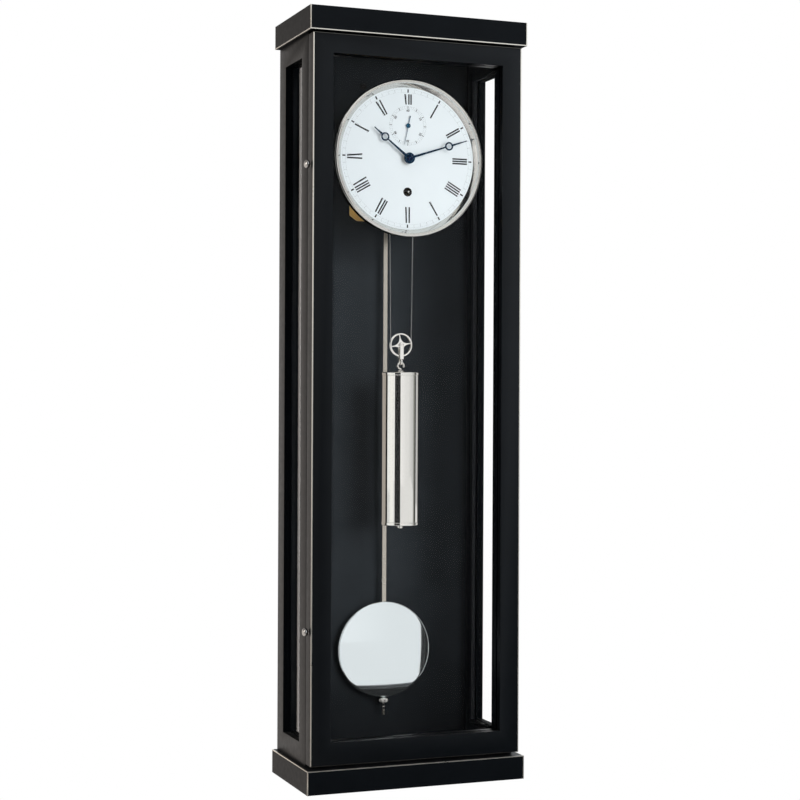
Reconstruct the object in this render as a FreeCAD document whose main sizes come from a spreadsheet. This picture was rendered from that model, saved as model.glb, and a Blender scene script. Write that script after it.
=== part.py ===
import FreeCAD, Part
import math
import os
import Sketcher
from FreeCAD import Rotation, Vector

# Front faces -Y and up is +Z. The origin is on the hanger's keyhole, at its face against the wall.
SIZES = {
    "total_height": 950, "cornice_width": 286, "cornice_depth": 145, "cornice_height": 29.2,
    "plinth_height": 29.2, "trim_width": 1.2, "line_width": 0.5, "hang_height": 880,
    "body_width": 275, "body_back": 141, "side_front": 25.5, "side_thickness": 17,
    "window_front": 50.4, "window_back": 116.4, "window_bottom": 56, "window_top": 894,
    "glass_inset": 9.1, "glass_thickness": 3, "rebate": 6, "glass_play": 0.5, "panel_thickness": 6,
    "door_front": 5, "door_back": 24.5, "door_bottom": 33.4, "door_top": 918.4,
    "opening_width": 223.6, "opening_bottom": 61.2, "opening_top": 894.6,
    "hinge_low": 150, "hinge_high": 800, "hinge_height": 50, "knuckle_height": 16,
    "knuckle_radius": 2.4, "pin_radius": 1.2, "hinge_axis": 140, "hinge_back": 25,
    "leaf_thickness": 1.2, "leaf_inner": 122, "leaf_outer": 137.2, "leaf_gap": 0.3, "knuckle_gap": 0.4,
    "knob_low": 195, "knob_high": 760, "knob_back": 15, "knob_radius": 5.2, "knob_length": 8,
    "stud_radius": 1.5, "stud_length": 12,
    "magnet_low": 170, "magnet_high": 785, "magnet_across": 129, "magnet_radius": 4,
    "magnet_length": 6, "strike_radius": 5, "strike_thickness": 1,
    "steady_low": 153.3, "steady_across": 50, "steady_radius": 2.5,
    "hanger_half": 20, "hanger_tall": 24, "hanger_plate": 1.5, "hanger_flange": 14,
    "keyhole_radius": 5, "keyhole_slot": 5, "keyhole_rise": 9, "screw_across": 27, "screw_radius": 1.5,
    "screw_head": 3, "screw_head_height": 1.4,
    "dial_height": 777.5, "dial_back": 45, "dial_radius": 94, "dial_thickness": 1.2,
    "bezel_radius": 98.3, "bezel_front": 36.8, "bezel_depth": 11, "bezel_lip": 93.2,
    "dial_view": 88.6, "sheet_gauge": 1.5, "foot_radius": 2.5, "foot_across": 50, "foot_rise": 46,
    "grommet_radius": 5.3, "grommet_bore": 4.2, "grommet_length": 2.6, "grommet_proud": 0.6,
    "pipe_play": 1, "bezel_edge": 1,
    "plate_half": 57, "plate_low": 74.7, "plate_high": 78, "plate_gauge": 2.5, "plate_corner": 88.5,
    "front_plate_back": 57, "back_plate_back": 99.5, "pillar_across": 48, "pillar_low": 62,
    "pillar_high": 66, "pillar_radius": 3.5, "tenon_radius": 2, "nut_radius": 4.5, "nut_height": 2.4,
    "standoff_radius": 4.5, "standoff_across": 34,
    "winding_drop": 41.7, "seconds_rise": 41, "anchor_rise": 67,
    "bar_side": 2.2, "pivot_radius": 0.8, "running_gap": 0.04, "end_play": 0.4, "anchor_hole": 4,
    "winding_radius": 3.2, "winding_pivot": 2, "square_side": 4, "square_front": 41.5, "square_back": 50,
    "drum_front": 60.5, "drum_length": 16, "drum_flange": 19, "drum_pitch": 16, "flange_gauge": 1.5,
    "cable_radius": 0.65, "cable_back": 66, "cable_gap": 0.05,
    "post_drop": 58, "post_radius": 2, "post_length": 11,
    "rim_width": 1.8, "boss_width": 3, "arm_width": 2.4, "wheel_gauge": 2, "great_gauge": 2.5,
    "leaf_proud": 1,
    "centre_back": 63, "escape_back": 70, "great_back": 79, "inter_back": 85, "third_back": 90,
    "great_square": 9,
    "great_teeth": 75, "great_pinion": 15, "great_module": 0.8,
    "inter_teeth": 60, "centre_pinion": 12, "inter_module": 0.6,
    "centre_teeth": 90, "third_pinion": 12, "centre_module": 0.42,
    "third_teeth": 96, "escape_pinion": 12, "third_module": 0.39,
    "cannon_teeth": 20, "minute_teeth": 60, "cannon_module": 0.45,
    "minute_pinion": 15, "hour_teeth": 60, "hour_module": 0.48,
    "ratchet_teeth": 24, "ratchet_radius": 12, "ratchet_depth": 1.6, "ratchet_gauge": 2,
    "ratchet_square": 6.6,
    "escape_teeth": 36, "escape_radius": 17.5, "escape_depth": 2.6, "escape_rim": 2, "escape_boss": 4.5,
    "pallet_gap": 1.2, "anchor_boss": 4.6, "centre_radius": 1.5, "cannon_radius": 2.3, "pipe_radius": 3.2,
    "cannon_square": 5, "cannon_back": 53.2, "cannon_gauge": 2.2, "cannon_end": 56.2,
    "minute_square": 3.6, "minute_stud": 1.2, "stud_front": 48.6, "minute_turn": 45,
    "minute_back": 49.3, "minute_gauge": 2.6, "minute_end": 56.4,
    "hour_square": 9, "hour_back": 49.7, "hour_end": 51.5,
    "minute_hand_back": 37.6, "hour_hand_back": 39.4, "seconds_hand_back": 42.9, "hand_gauge": 0.8,
    "minute_reach": 80.5, "minute_ring": 54.5, "hour_reach": 61.4, "hour_ring": 42.7,
    "ring_radius": 5.1, "ring_band": 1.6, "ring_lap": 0.8, "hand_hub": 6.9,
    "hand_root": 1.5, "hand_waist": 0.85, "hand_neck": 0.95, "hand_tip": 0.3, "cap_rise": 2.8,
    "seconds_reach": 24, "seconds_tail": 12.8, "seconds_hub": 2.9, "seconds_hub_gauge": 1, "hub_proud": 0.3,
    "seconds_gauge": 0.5, "tail_half": 0.6, "point_half": 0.25, "pivot_proud": 0.4,
    "minute_angle": 71.8, "hour_angle": 308.2, "seconds_angle": 192,
    "pendulum_back": 123, "rod_width": 5.4, "rod_gauge": 1.8, "rod_bottom": 97, "rod_top": 828,
    "clamp_top": 840, "clamp_half": 4, "clamp_deep": 9, "slot_width": 1.5, "slot_bottom": 832,
    "spring_gauge": 0.3, "spring_deep": 7, "spring_bottom": 834, "spring_top": 847, "block_height": 6,
    "block_half": 3, "lap": 4,
    "tip_radius": 1.5, "tip_bottom": 68.5, "bob_height": 153.3, "bob_radius": 61.9, "bob_edge": 5,
    "bob_dome": 4.8, "ferrule_radius": 4, "ferrule_bottom": 90.6,
    "rating_bottom": 83.6, "rating_height": 6.4, "rating_radius": 5.8,
    "cock_half": 24, "cock_leg": 6, "cock_back": 108, "cock_gauge": 3, "cock_low": 60, "cock_high": 83.5,
    "arm_half": 8, "arm_back": 128, "crutch_back": 104, "crutch_gauge": 2, "crutch_half": 1.5,
    "crutch_drop": 5, "crutch_foot": 3, "crutch_pin": 1, "finger_play": 0.4,
    "weight_radius": 23, "weight_wall": 1.4, "weight_bottom": 317.6, "weight_top": 510.8,
    "cap_radius": 23.5, "cap_height": 4.2, "core_play": 0.3, "spindle_radius": 2, "weight_nut": 3.6,
    "weight_nut_height": 4.7, "collar_radius": 4, "collar_height": 3,
    "pulley_height": 545, "pulley_radius": 15.5, "pulley_pitch": 13.8, "pulley_half": 2.2,
    "pulley_inner": 12.4, "groove_floor": 0.8, "groove_mouth": 1.4, "axle_radius": 1.5, "axle_proud": 0.8,
    "pulley_hub": 3.6, "spoke_half": 1.2, "spoke_lap": 0.3, "spoke_lean": 3.4, "spoke_turn": 7,
    "star_waist": 4.2,
    "strap_half": 2.4, "strap_gauge": 1.2, "strap_gap": 0.8, "strap_bottom": 527, "strap_rise": 5,
    "eye_radius": 3.6, "eye_lap": 0.4, "wire_radius": 1.1, "hook_radius": 4, "hook_height": 518.8,
}

PRESSURE = math.radians(28)
ADDENDUM = 0.9
DEDENDUM = 1.15
TOOTH_SHARE = 0.40
WHEEL_ARMS = 4
PULLEY_ARMS = 4
NUT_SIDES = 6
# Shares of the knob's radius and length, from its neck to its end.
KNOB_PROFILE = ((0, 0), (0.46, 0), (0.46, 0.1), (0.78, 0.18), (1, 0.42), (1, 0.64), (0.78, 0.88),
                (0.4, 1), (0, 1))
# Shares of the cap's rise: half width and distance from its top.
CAP_PROFILE = ((0, 0), (0.93, 0.18), (1.4, 0.6), (1.5, 1), (0, 1))
RATCHET_LEAN = 0.06
# Distance outside the ratchet's tips, and clock angle in degrees.
CLICK_MARKS = ((0.6, -35.5), (0.8, -26), (5, -6), (9, -7), (8, -16))
# Places of a tooth's root and tip, in shares of the pitch.
ESCAPE_ROOTS = (0, 0.62)
ESCAPE_TIPS = (0.42, 0.56)
# Distance outside the pallet's nib, and clock angle in degrees.
PALLET_MARKS = ((5, 46), (4, 56), (0, 52), (0.6, 43))
ANCHOR_SHOULDERS = (20, 160)
HOOK_ARC = (-20, 125, 270)


class Size:
    """A length, with the sheet expression that gives it."""

    def __init__(self, text, value):
        self.text = text
        self.value = value

    def __add__(self, other):
        other = sized(other)
        return Size(f"({self.text} + {other.text})", self.value + other.value)

    def __radd__(self, other):
        return sized(other) + self

    def __neg__(self):
        return Size(f"(0 - {self.text})", -self.value)

    def __sub__(self, other):
        other = sized(other)
        return Size(f"({self.text} - {other.text})", self.value - other.value)

    def __rsub__(self, other):
        return sized(other) - self

    def __mul__(self, other):
        other = sized(other)
        return Size(f"({self.text} * {other.text})", self.value * other.value)

    def __rmul__(self, other):
        return sized(other) * self

    def __truediv__(self, other):
        other = sized(other)
        return Size(f"({self.text} / {other.text})", self.value / other.value)


class Sheet:
    """The sizes by name."""


def sized(value):
    return value if isinstance(value, Size) else Size(repr(float(value)), float(value))


def root(size):
    return Size(f"sqrt({size.text})", math.sqrt(size.value))


doc = FreeCAD.newDocument("regulator_wall_clock")
sheet = doc.addObject("Spreadsheet::Sheet", "Sizes")
s = Sheet()
for row, (name, number) in enumerate(SIZES.items(), start=1):
    sheet.set(f"A{row}", name)
    sheet.set(f"B{row}", str(number))
    sheet.setAlias(f"B{row}", name)
    setattr(s, name, Size(f"<<Sizes>>.{name}", float(number)))
doc.recompute()

UPRIGHT = Rotation()
BACKWARD = Rotation(Vector(1, 0, 0), -90)
RIGHTWARD = Rotation(Vector(0, 1, 0), 90)
LEFTWARD = Rotation(Vector(0, 1, 0), -90)
kept = {}


def deep(setback):
    """Y of a plane set back from the cornice's front."""
    return sized(setback) - s.cornice_depth


def high(height):
    """Z of a height above the plinth's underside."""
    return sized(height) - s.hang_height


def dial_z(rise):
    """Z of a height above the dial's centre."""
    return high(s.dial_height + rise)


def keep(node, thing):
    thing.Label = node
    kept[node] = thing
    return thing


def bind(thing, sizes):
    for name, size in sizes.items():
        thing.setExpression(name, sized(size).text)


def locate(thing, x, y, z, turn=UPRIGHT):
    thing.Placement = FreeCAD.Placement(Vector(), turn)
    bind(thing, {"Placement.Base.x": x, "Placement.Base.y": y, "Placement.Base.z": z})
    return thing


def box(name, x, y, z):
    thing = doc.addObject("Part::Box", name)
    for side, span in (("Length", x), ("Width", y), ("Height", z)):
        bind(thing, {side: sized(span[1]) - span[0]})
    return locate(thing, x[0], y[0], z[0])


def rod(name, x, y, z, radius, length, turn=BACKWARD):
    thing = doc.addObject("Part::Cylinder", name)
    bind(thing, {"Radius": radius, "Height": length})
    return locate(thing, x, y, z, turn)


def post(name, x, z, radius, near, far):
    """A round bar along Y between two set-backs."""
    return rod(name, x, deep(near), z, radius, sized(far) - near)


def cut(name, base, *tools):
    for count, tool in enumerate(tools):
        step = doc.addObject("Part::Cut", f"{name}_cut{count}")
        step.Base = base
        step.Tool = tool
        base = step
    return base


def fuse(name, *shapes):
    thing = doc.addObject("Part::MultiFuse", f"{name}_joined")
    thing.Shapes = list(shapes)
    return thing


def group(name, *shapes):
    thing = doc.addObject("Part::Compound", f"{name}_group")
    thing.Links = list(shapes)
    return thing


def solid(name, shape):
    thing = doc.addObject("Part::Feature", name)
    thing.Shape = shape
    return thing


def turned(name, profile, x, y, z, turn=BACKWARD):
    """A round piece from its half profile of (radius, distance along the axis)."""
    body = doc.addObject("PartDesign::Body", name)
    sketch = body.newObject("Sketcher::SketchObject", f"{name}_profile")
    plane = [item for item in body.Origin.OriginFeatures if item.Role == "XZ_Plane"][0]
    sketch.AttachmentSupport = [(plane, "")]
    sketch.MapMode = "FlatFace"
    corners = [(sized(r), sized(along)) for r, along in profile]
    points = [Vector(r.value, along.value, 0) for r, along in corners]
    last = len(points) - 1
    for i, point in enumerate(points):
        sketch.addGeometry(Part.LineSegment(point, points[0 if i == last else i + 1]))
    for i in range(len(points)):
        sketch.addConstraint(Sketcher.Constraint("Coincident", i, 2, 0 if i == last else i + 1, 1))
    for i, corner in enumerate(corners):
        for kind, size in zip(("DistanceX", "DistanceY"), corner):
            mark = sketch.addConstraint(Sketcher.Constraint(kind, -1, 1, i, 1, size.value))
            sketch.setExpression(f"Constraints[{mark}]", size.text)
    turning = body.newObject("PartDesign::Revolution", f"{name}_turning")
    turning.Profile = sketch
    turning.ReferenceAxis = (sketch, ["V_Axis"])
    turning.Angle = 360
    return locate(body, x, y, z, turn)


def ring_point(centre, radius, angle):
    """A point at a clock angle, in radians from the top."""
    return centre[0] + radius * math.sin(angle), centre[1] + radius * math.cos(angle)


def square(centre, side):
    half = side / 2
    x, z = centre
    return [(x - half, z - half), (x + half, z - half), (x + half, z + half), (x - half, z + half)]


def prism(outlines, near, far):
    """A flat piece along Y. The outlines are points across and up from the dial's centre."""
    y = deep(near).value
    wires = []
    for outline in outlines:
        corners = [Vector(x, y, dial_z(z).value) for x, z in outline]
        wires.append(Part.makePolygon(corners + corners[:1]))
    face = Part.makeFace(wires, "Part::FaceMakerBullseye")
    return face.extrude(Vector(0, deep(far).value - y, 0))


def involute(angle):
    return math.tan(angle) - angle


def tooth_outline(centre, teeth, module, phase):
    pitch = teeth * module / 2
    base = pitch * math.cos(PRESSURE)

    def half_width(radius):
        lean = math.acos(base / radius) if radius > base else 0
        return TOOTH_SHARE * math.pi / teeth + involute(PRESSURE) - involute(lean)

    floor = pitch - DEDENDUM * module
    tip = pitch + ADDENDUM * module
    points = []
    for k in range(int(teeth)):
        middle = phase + 2 * math.pi * k / teeth
        for radius, side in ((floor, -1), (tip, -1), (tip, 1), (floor, 1)):
            points.append(ring_point(centre, radius, middle + side * half_width(radius)))
    return points


def crossings(centre, inner, outer):
    """The windows between a wheel's arms."""
    windows = []
    for k in range(WHEEL_ARMS):
        middle = 2 * math.pi * (k + 0.5) / WHEEL_ARMS
        window = []
        for radius, steps in ((inner, (-1, 1)), (outer, (1, 0.5, 0, -0.5, -1))):
            spread = math.pi / WHEEL_ARMS - s.arm_width.value / 2 / radius
            window += [ring_point(centre, radius, middle + step * spread) for step in steps]
        windows.append(window)
    return windows


def wheel(centre, teeth, module, phase, hole, near, far):
    """A crossed-out wheel on a square hole."""
    rim = teeth * module / 2 - DEDENDUM * module - s.rim_width.value
    boss = math.hypot(hole, hole) / 2 + s.boss_width.value
    windows = crossings(centre, boss, rim)
    return prism([tooth_outline(centre, teeth, module, phase), square(centre, hole)] + windows, near, far)


def pinion(centre, leaves, module, phase, hole, near, far):
    return prism([tooth_outline(centre, leaves, module, phase), square(centre, hole)], near, far)


def mesh_phase(driver, driver_teeth, driver_phase, follower, follower_teeth):
    """The phase that puts a gap of the follower over a tooth of the driver."""
    line = math.atan2(follower[0] - driver[0], follower[1] - driver[1])
    step = 2 * math.pi / follower_teeth
    share = (line - driver_phase) * driver_teeth / (2 * math.pi)
    return line + math.pi - step * (0.5 - share)


def across(sign, near, far):
    """A span on the right for +1, or its mirror on the left for -1."""
    return (near, far) if sign > 0 else (-sized(far), -sized(near))


def edged_slab(node, bottom, top, edge, corner):
    half = s.cornice_width / 2
    w = s.trim_width
    strips = [box(f"{node}_front_strip", (-half, half), (deep(0), deep(w)), edge)]
    for side, sign in (("left", -1), ("right", 1)):
        x = across(sign, half - w, half)
        strips.append(box(f"{node}_{side}_strip", x, (deep(w), 0), edge))
        strips.append(box(f"{node}_{side}_corner", x, (deep(0), deep(w)), corner))
    slab = box(f"{node}_blank", (-half, half), (deep(0), 0), (bottom, top))
    keep(node, cut(node, slab, *strips))
    keep(f"{node}_trim", group(f"{node}_trim", *strips))


def cornice_and_plinth():
    w = s.trim_width
    eaves = high(s.total_height - s.cornice_height)
    top = high(s.total_height)
    edged_slab("cornice", eaves, top, (eaves, eaves + w), (eaves + w, top))
    floor = high(0)
    ledge = high(s.plinth_height)
    edged_slab("plinth", floor, ledge, (ledge - w, ledge), (floor, ledge - w))


def bead_ring(name, depth, u, v, lay):
    """Four glazing beads round an opening of spans u and v."""
    r = s.rebate
    wide = (u[0] - r, u[1] + r)
    spans = {"lower": (wide, (v[0] - r, v[0])), "upper": (wide, (v[1], v[1] + r)),
             "near": ((u[0] - r, u[0]), v), "far": ((u[1], u[1] + r), v)}
    return [box(f"{name}_{end}", *lay(depth, a, b)) for end, (a, b) in spans.items()]


def grown(span, by):
    return span[0] - by, span[1] + by


def hinge_heights():
    return {"low": high(s.hinge_low), "high": high(s.hinge_high)}


def leaf_span(middle):
    return middle - s.hinge_height / 2, middle + s.hinge_height / 2


def case_leaf_y():
    near = deep(s.hinge_back) + s.leaf_gap / 2
    return near, near + s.leaf_thickness


def door_leaf_y():
    far = deep(s.hinge_back) - s.leaf_gap / 2
    return far - s.leaf_thickness, far


def hinge_recesses(side, y):
    x = (s.leaf_inner, s.body_width / 2)
    return [box(f"{side}_recess_{end}", x, y, leaf_span(middle)) for end, middle in hinge_heights().items()]


def magnet_holes(name, near, radius, length):
    spots = {"low": high(s.magnet_low), "high": high(s.magnet_high)}
    return [rod(f"{name}_{end}", -s.magnet_across, near, z, radius, length) for end, z in spots.items()]


def side_frame(side, sign, fittings):
    outer = s.body_width / 2
    inner = outer - s.side_thickness
    glass_out = outer - s.glass_inset
    glass_in = glass_out - s.glass_thickness
    wall = across(sign, inner, outer)
    rise = (high(s.plinth_height), high(s.total_height - s.cornice_height))
    y = (deep(s.window_front), deep(s.window_back))
    z = (high(s.window_bottom), high(s.window_top))
    spans = {"front_stile": ((deep(s.side_front), y[0]), rise), "lower_rail": (y, (rise[0], z[0])),
             "rear_stile": ((y[1], deep(s.body_back)), rise), "upper_rail": (y, (z[1], rise[1]))}
    pieces = []
    sunk = (across(sign, inner, glass_out), grown(y, s.rebate), grown(z, s.rebate))
    for piece, (depth, height) in spans.items():
        name = f"{side}_{piece}"
        rebate = box(f"{name}_rebate", *sunk)
        tools = [rebate] + (fittings if piece == "front_stile" else [])
        pieces.append(cut(name, box(f"{name}_blank", wall, depth, height), *tools))
    keep(f"{side}_side_frame", group(f"{side}_side_frame", *pieces))
    margin = s.rebate - s.glass_play
    pane = box(f"{side}_pane", across(sign, glass_in, glass_out), grown(y, margin), grown(z, margin))
    beads = bead_ring(f"{side}_bead", across(sign, inner, glass_in), y, z, lambda d, u, v: (d, u, v))
    return pane, beads


def case_sides():
    magnets = magnet_holes("magnet", deep(s.side_front), s.magnet_radius, s.magnet_length)
    keep("door_magnets", group("door_magnets", *magnets))
    recesses = hinge_recesses("case", (deep(s.side_front), case_leaf_y()[1]))
    left_pane, left_beads = side_frame("left", -1, magnets)
    right_pane, right_beads = side_frame("right", 1, recesses)
    keep("side_glass", group("side_glass", left_pane, right_pane))
    keep("side_glass_beads", group("side_glass_beads", *left_beads, *right_beads))


def back_panel():
    half = s.body_width / 2 - s.side_thickness
    front = deep(s.body_back - s.panel_thickness)
    rise = (high(s.plinth_height), high(s.total_height - s.cornice_height))
    panel = box("panel_blank", (-half, half), (front, deep(s.body_back)), rise)
    thick = s.panel_thickness
    low = high(s.steady_low)
    holes = []
    for side, sign in (("left", -1), ("right", 1)):
        holes.append(rod(f"steady_{side}", sign * s.steady_across, front, low, s.steady_radius, thick))
        holes.append(rod(f"screw_hole_{side}", sign * s.screw_across, front, 0, s.screw_radius, thick))
    keep("back_panel", cut("back_panel", panel, *holes))


def wall_hanger():
    half = s.hanger_half
    z = (-s.hanger_tall / 2, s.hanger_tall / 2)
    gauge = s.hanger_plate
    panel = deep(s.body_back)
    thick = s.panel_thickness
    flange = (panel, panel + gauge)
    pieces = [box("hanger_bridge", (-half, half), (-gauge, 0), z)]
    holes = []
    screws = []
    for side, sign in (("left", -1), ("right", 1)):
        pieces.append(box(f"hanger_leg_{side}", across(sign, half - gauge, half), (panel, 0), z))
        wide = across(sign, half - gauge, half + s.hanger_flange)
        pieces.append(box(f"hanger_flange_{side}", wide, flange, z))
        x = sign * s.screw_across
        holes.append(rod(f"hanger_hole_{side}", x, panel, 0, s.screw_radius, gauge))
        shank = rod(f"screw_shank_{side}", x, panel - thick, 0, s.screw_radius, thick + gauge)
        head = rod(f"screw_head_{side}", x, panel + gauge, 0, s.screw_head, s.screw_head_height)
        screws.append(fuse(f"screw_{side}", shank, head))
    slot = s.keyhole_slot / 2
    holes.append(rod("keyhole_round", 0, -gauge, 0, s.keyhole_radius, gauge))
    holes.append(box("keyhole_slot", (-slot, slot), (-gauge, 0), (0, s.keyhole_rise)))
    holes.append(rod("keyhole_end", 0, -gauge, s.keyhole_rise, slot, gauge))
    keep("wall_hanger", group("wall_hanger", cut("hanger", fuse("hanger", *pieces), *holes), *screws))


def hinge_leaf(name, y, middle, spans, bore):
    """A leaf with knuckles over the given spans along the axis."""
    plate = box(f"{name}_plate", (s.leaf_inner, s.leaf_outer), y, leaf_span(middle))
    pieces = [plate]
    for count, (low, top) in enumerate(spans):
        pieces.append(box(f"{name}_tongue{count}", (s.leaf_outer, s.hinge_axis), y, (low, top)))
        knuckle = (s.knuckle_radius, top - low, UPRIGHT)
        pieces.append(rod(f"{name}_knuckle{count}", s.hinge_axis, deep(s.hinge_back), low, *knuckle))
    low, top = leaf_span(middle)
    hole = rod(f"{name}_bore", s.hinge_axis, deep(s.hinge_back), low, bore, top - low, UPRIGHT)
    return cut(name, fuse(name, *pieces), hole)


def hinges():
    case_leaves = []
    door_leaves = []
    for end, middle in hinge_heights().items():
        low, top = leaf_span(middle)
        half = s.knuckle_height / 2
        clear = half + s.knuckle_gap
        mid_span = [(middle - half, middle + half)]
        end_spans = [(low, middle - clear), (middle + clear, top)]
        case_leaves.append(hinge_leaf(f"case_leaf_{end}", case_leaf_y(), middle, mid_span, s.pin_radius))
        pin = (s.pin_radius, top - low, UPRIGHT)
        case_leaves.append(rod(f"hinge_pin_{end}", s.hinge_axis, deep(s.hinge_back), low, *pin))
        bore = s.pin_radius + s.running_gap
        door_leaves.append(hinge_leaf(f"door_leaf_{end}", door_leaf_y(), middle, end_spans, bore))
    keep("case_hinge_leaves", group("case_hinge_leaves", *case_leaves))
    keep("door_hinge_leaves", group("door_hinge_leaves", *door_leaves))


def door_knobs():
    edge = -s.body_width / 2
    profile = [(s.knob_radius * out, s.knob_length * along) for out, along in KNOB_PROFILE]
    knobs = []
    holes = []
    for end, height in (("low", s.knob_low), ("high", s.knob_high)):
        head = turned(f"knob_head_{end}", profile, edge, deep(s.knob_back), high(height), LEFTWARD)
        stud = (s.stud_radius, s.stud_length, RIGHTWARD)
        holes.append(rod(f"knob_stud_{end}", edge, deep(s.knob_back), high(height), *stud))
        knobs.append(fuse(f"knob_{end}", head, holes[-1]))
    keep("door_knobs", group("door_knobs", *knobs))
    return holes


def door_trim():
    outer = s.body_width / 2
    w = s.trim_width
    fine = s.line_width
    front = deep(s.door_front)
    rise = (high(s.door_bottom), high(s.door_top))
    strips = []
    for side, sign in (("left", -1), ("right", 1)):
        strips.append(box(f"door_edge_{side}", across(sign, outer - w, outer), (front, front + w), rise))
    for end, z in (("lower", (rise[0], rise[0] + fine)), ("upper", (rise[1] - fine, rise[1]))):
        strips.append(box(f"door_line_{end}", (w - outer, outer - w), (front, front + fine), z))
    keep("door_trim", group("door_trim", *strips))
    return strips


def door():
    outer = s.body_width / 2
    inner = s.opening_width / 2
    y = (deep(s.door_front), deep(s.door_back))
    rise = (high(s.door_bottom), high(s.door_top))
    x = (-inner, inner)
    z = (high(s.opening_bottom), high(s.opening_top))
    glass = (y[0] + s.glass_inset, y[0] + s.glass_inset + s.glass_thickness)
    trims = door_trim()
    strikes = magnet_holes("strike", y[1] - s.strike_thickness, s.strike_radius, s.strike_thickness)
    keep("door_strikes", group("door_strikes", *strikes))
    recesses = hinge_recesses("door", (door_leaf_y()[0], y[1]))
    extra = {"left_stile": door_knobs() + strikes, "right_stile": recesses}
    spans = {"left_stile": ((-outer, -inner), rise), "right_stile": ((inner, outer), rise),
             "lower_rail": (x, (rise[0], z[0])), "upper_rail": (x, (z[1], rise[1]))}
    made = {}
    for piece, (wide, height) in spans.items():
        rebate = box(f"door_{piece}_rebate", grown(x, s.rebate), (glass[0], y[1]), grown(z, s.rebate))
        blank = box(f"door_{piece}_blank", wide, y, height)
        made[piece] = cut(f"door_{piece}", blank, rebate, *trims, *extra.get(piece, []))
    keep("door_left_stile", made["left_stile"])
    keep("door_right_stile", made["right_stile"])
    keep("door_rails", group("door_rails", made["lower_rail"], made["upper_rail"]))
    margin = s.rebate - s.glass_play
    keep("door_glass", box("door_pane", grown(x, margin), glass, grown(z, margin)))
    beads = bead_ring("door_bead", (glass[1], y[1]), x, z, lambda d, u, v: (u, d, v))
    keep("door_glass_beads", group("door_glass_beads", *beads))


def third_arbor_place():
    """The third arbor, from its distances to the centre and escape arbors."""
    near = s.centre_module * (s.centre_teeth + s.third_pinion) / 2
    far = s.third_module * (s.third_teeth + s.escape_pinion) / 2
    rise = (near * near - far * far + s.seconds_rise * s.seconds_rise) / (2 * s.seconds_rise)
    return -root(near * near - rise * rise), rise


def inter_arbor_place():
    """The intermediate arbor, from its distances to the centre and winding arbors."""
    near = s.inter_module * (s.inter_teeth + s.centre_pinion) / 2
    far = s.great_module * (s.great_teeth + s.great_pinion) / 2
    rise = (far * far - near * near - s.winding_drop * s.winding_drop) / (2 * s.winding_drop)
    return root(near * near - rise * rise), rise


def minute_stud_place():
    reach = s.cannon_module * (s.cannon_teeth + s.minute_teeth) / 2
    turn = math.radians(s.minute_turn.value)
    return reach * math.sin(turn), reach * math.cos(turn)


def spot(place):
    return sized(place[0]).value, sized(place[1]).value


CENTRE = (0.0, 0.0)
WINDING = (0, -s.winding_drop)
ESCAPE = (0, s.seconds_rise)
ANCHOR = (0, s.anchor_rise)
THIRD = third_arbor_place()
INTER = inter_arbor_place()
MINUTE = minute_stud_place()


def pillar_places():
    rises = {"low": -s.pillar_low, "high": s.pillar_high}
    sides = {"left": -s.pillar_across, "right": s.pillar_across}
    return {f"{end}_{side}": (x, z) for end, z in rises.items() for side, x in sides.items()}


def plate(node, setback, holes):
    """A movement plate with (place, radius) holes, its corners turned off round the dial's centre."""
    z = (dial_z(-s.plate_low), dial_z(s.plate_high))
    far = setback + s.plate_gauge
    blank = doc.addObject("Part::Common", f"{node}_blank")
    blank.Base = box(f"{node}_sheet", (-s.plate_half, s.plate_half), (deep(setback), deep(far)), z)
    blank.Tool = post(f"{node}_disc", 0, dial_z(0), s.plate_corner, setback, far)
    tools = []
    for count, (place, radius) in enumerate(holes):
        tools.append(post(f"{node}_hole{count}", place[0], dial_z(place[1]), radius, setback, far))
    for corner, place in pillar_places().items():
        tools.append(post(f"{node}_{corner}", place[0], dial_z(place[1]), s.tenon_radius, setback, far))
    return cut(node, blank, *tools)


def cable_marks():
    """Where the cable leaves the drum, touches the pulley and ends."""
    y = deep(s.cable_back).value
    drum = dial_z(-s.winding_drop).value
    wheel_z = high(s.pulley_height).value
    wide = s.drum_pitch.value
    small = s.pulley_pitch.value
    lean = math.asin((wide - small) / (drum - wheel_z))

    def touch(sign, radius, height):
        return Vector(sign * radius * math.cos(lean), y, height + radius * math.sin(lean))

    end = dial_z(-s.post_drop - s.post_radius).value
    top = touch(-1, wide, drum)
    fixed = Vector(top.x + (top.z - end) * math.tan(lean), y, end)
    low = Vector(0, y, wheel_z - small)
    return {"drum": touch(1, wide, drum), "right": touch(1, small, wheel_z), "low": low,
            "left": touch(-1, small, wheel_z), "fixed": fixed}


def plates():
    fine = s.pivot_radius + s.running_gap
    shared = [(THIRD, fine), (INTER, fine), (ESCAPE, fine)]
    front_holes = shared + [(CENTRE, s.centre_radius + s.running_gap), (ANCHOR, fine),
                            (WINDING, s.winding_radius + s.running_gap)]
    front = plate("front_plate", s.front_plate_back, front_holes)
    inside = s.front_plate_back + s.plate_gauge
    stud = post("minute_stud", MINUTE[0], dial_z(MINUTE[1]), s.minute_stud, s.stud_front, inside)
    peg_x = cable_marks()["fixed"].x
    peg = post("cable_peg", peg_x, dial_z(-s.post_drop), s.post_radius, inside, inside + s.post_length)
    keep("front_plate", group("front_plate", fuse("front_plate", front, stud), peg))
    back_holes = shared + [(CENTRE, fine), (ANCHOR, s.anchor_hole),
                           (WINDING, s.winding_pivot + s.running_gap)]
    keep("back_plate", plate("back_plate", s.back_plate_back, back_holes))


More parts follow.
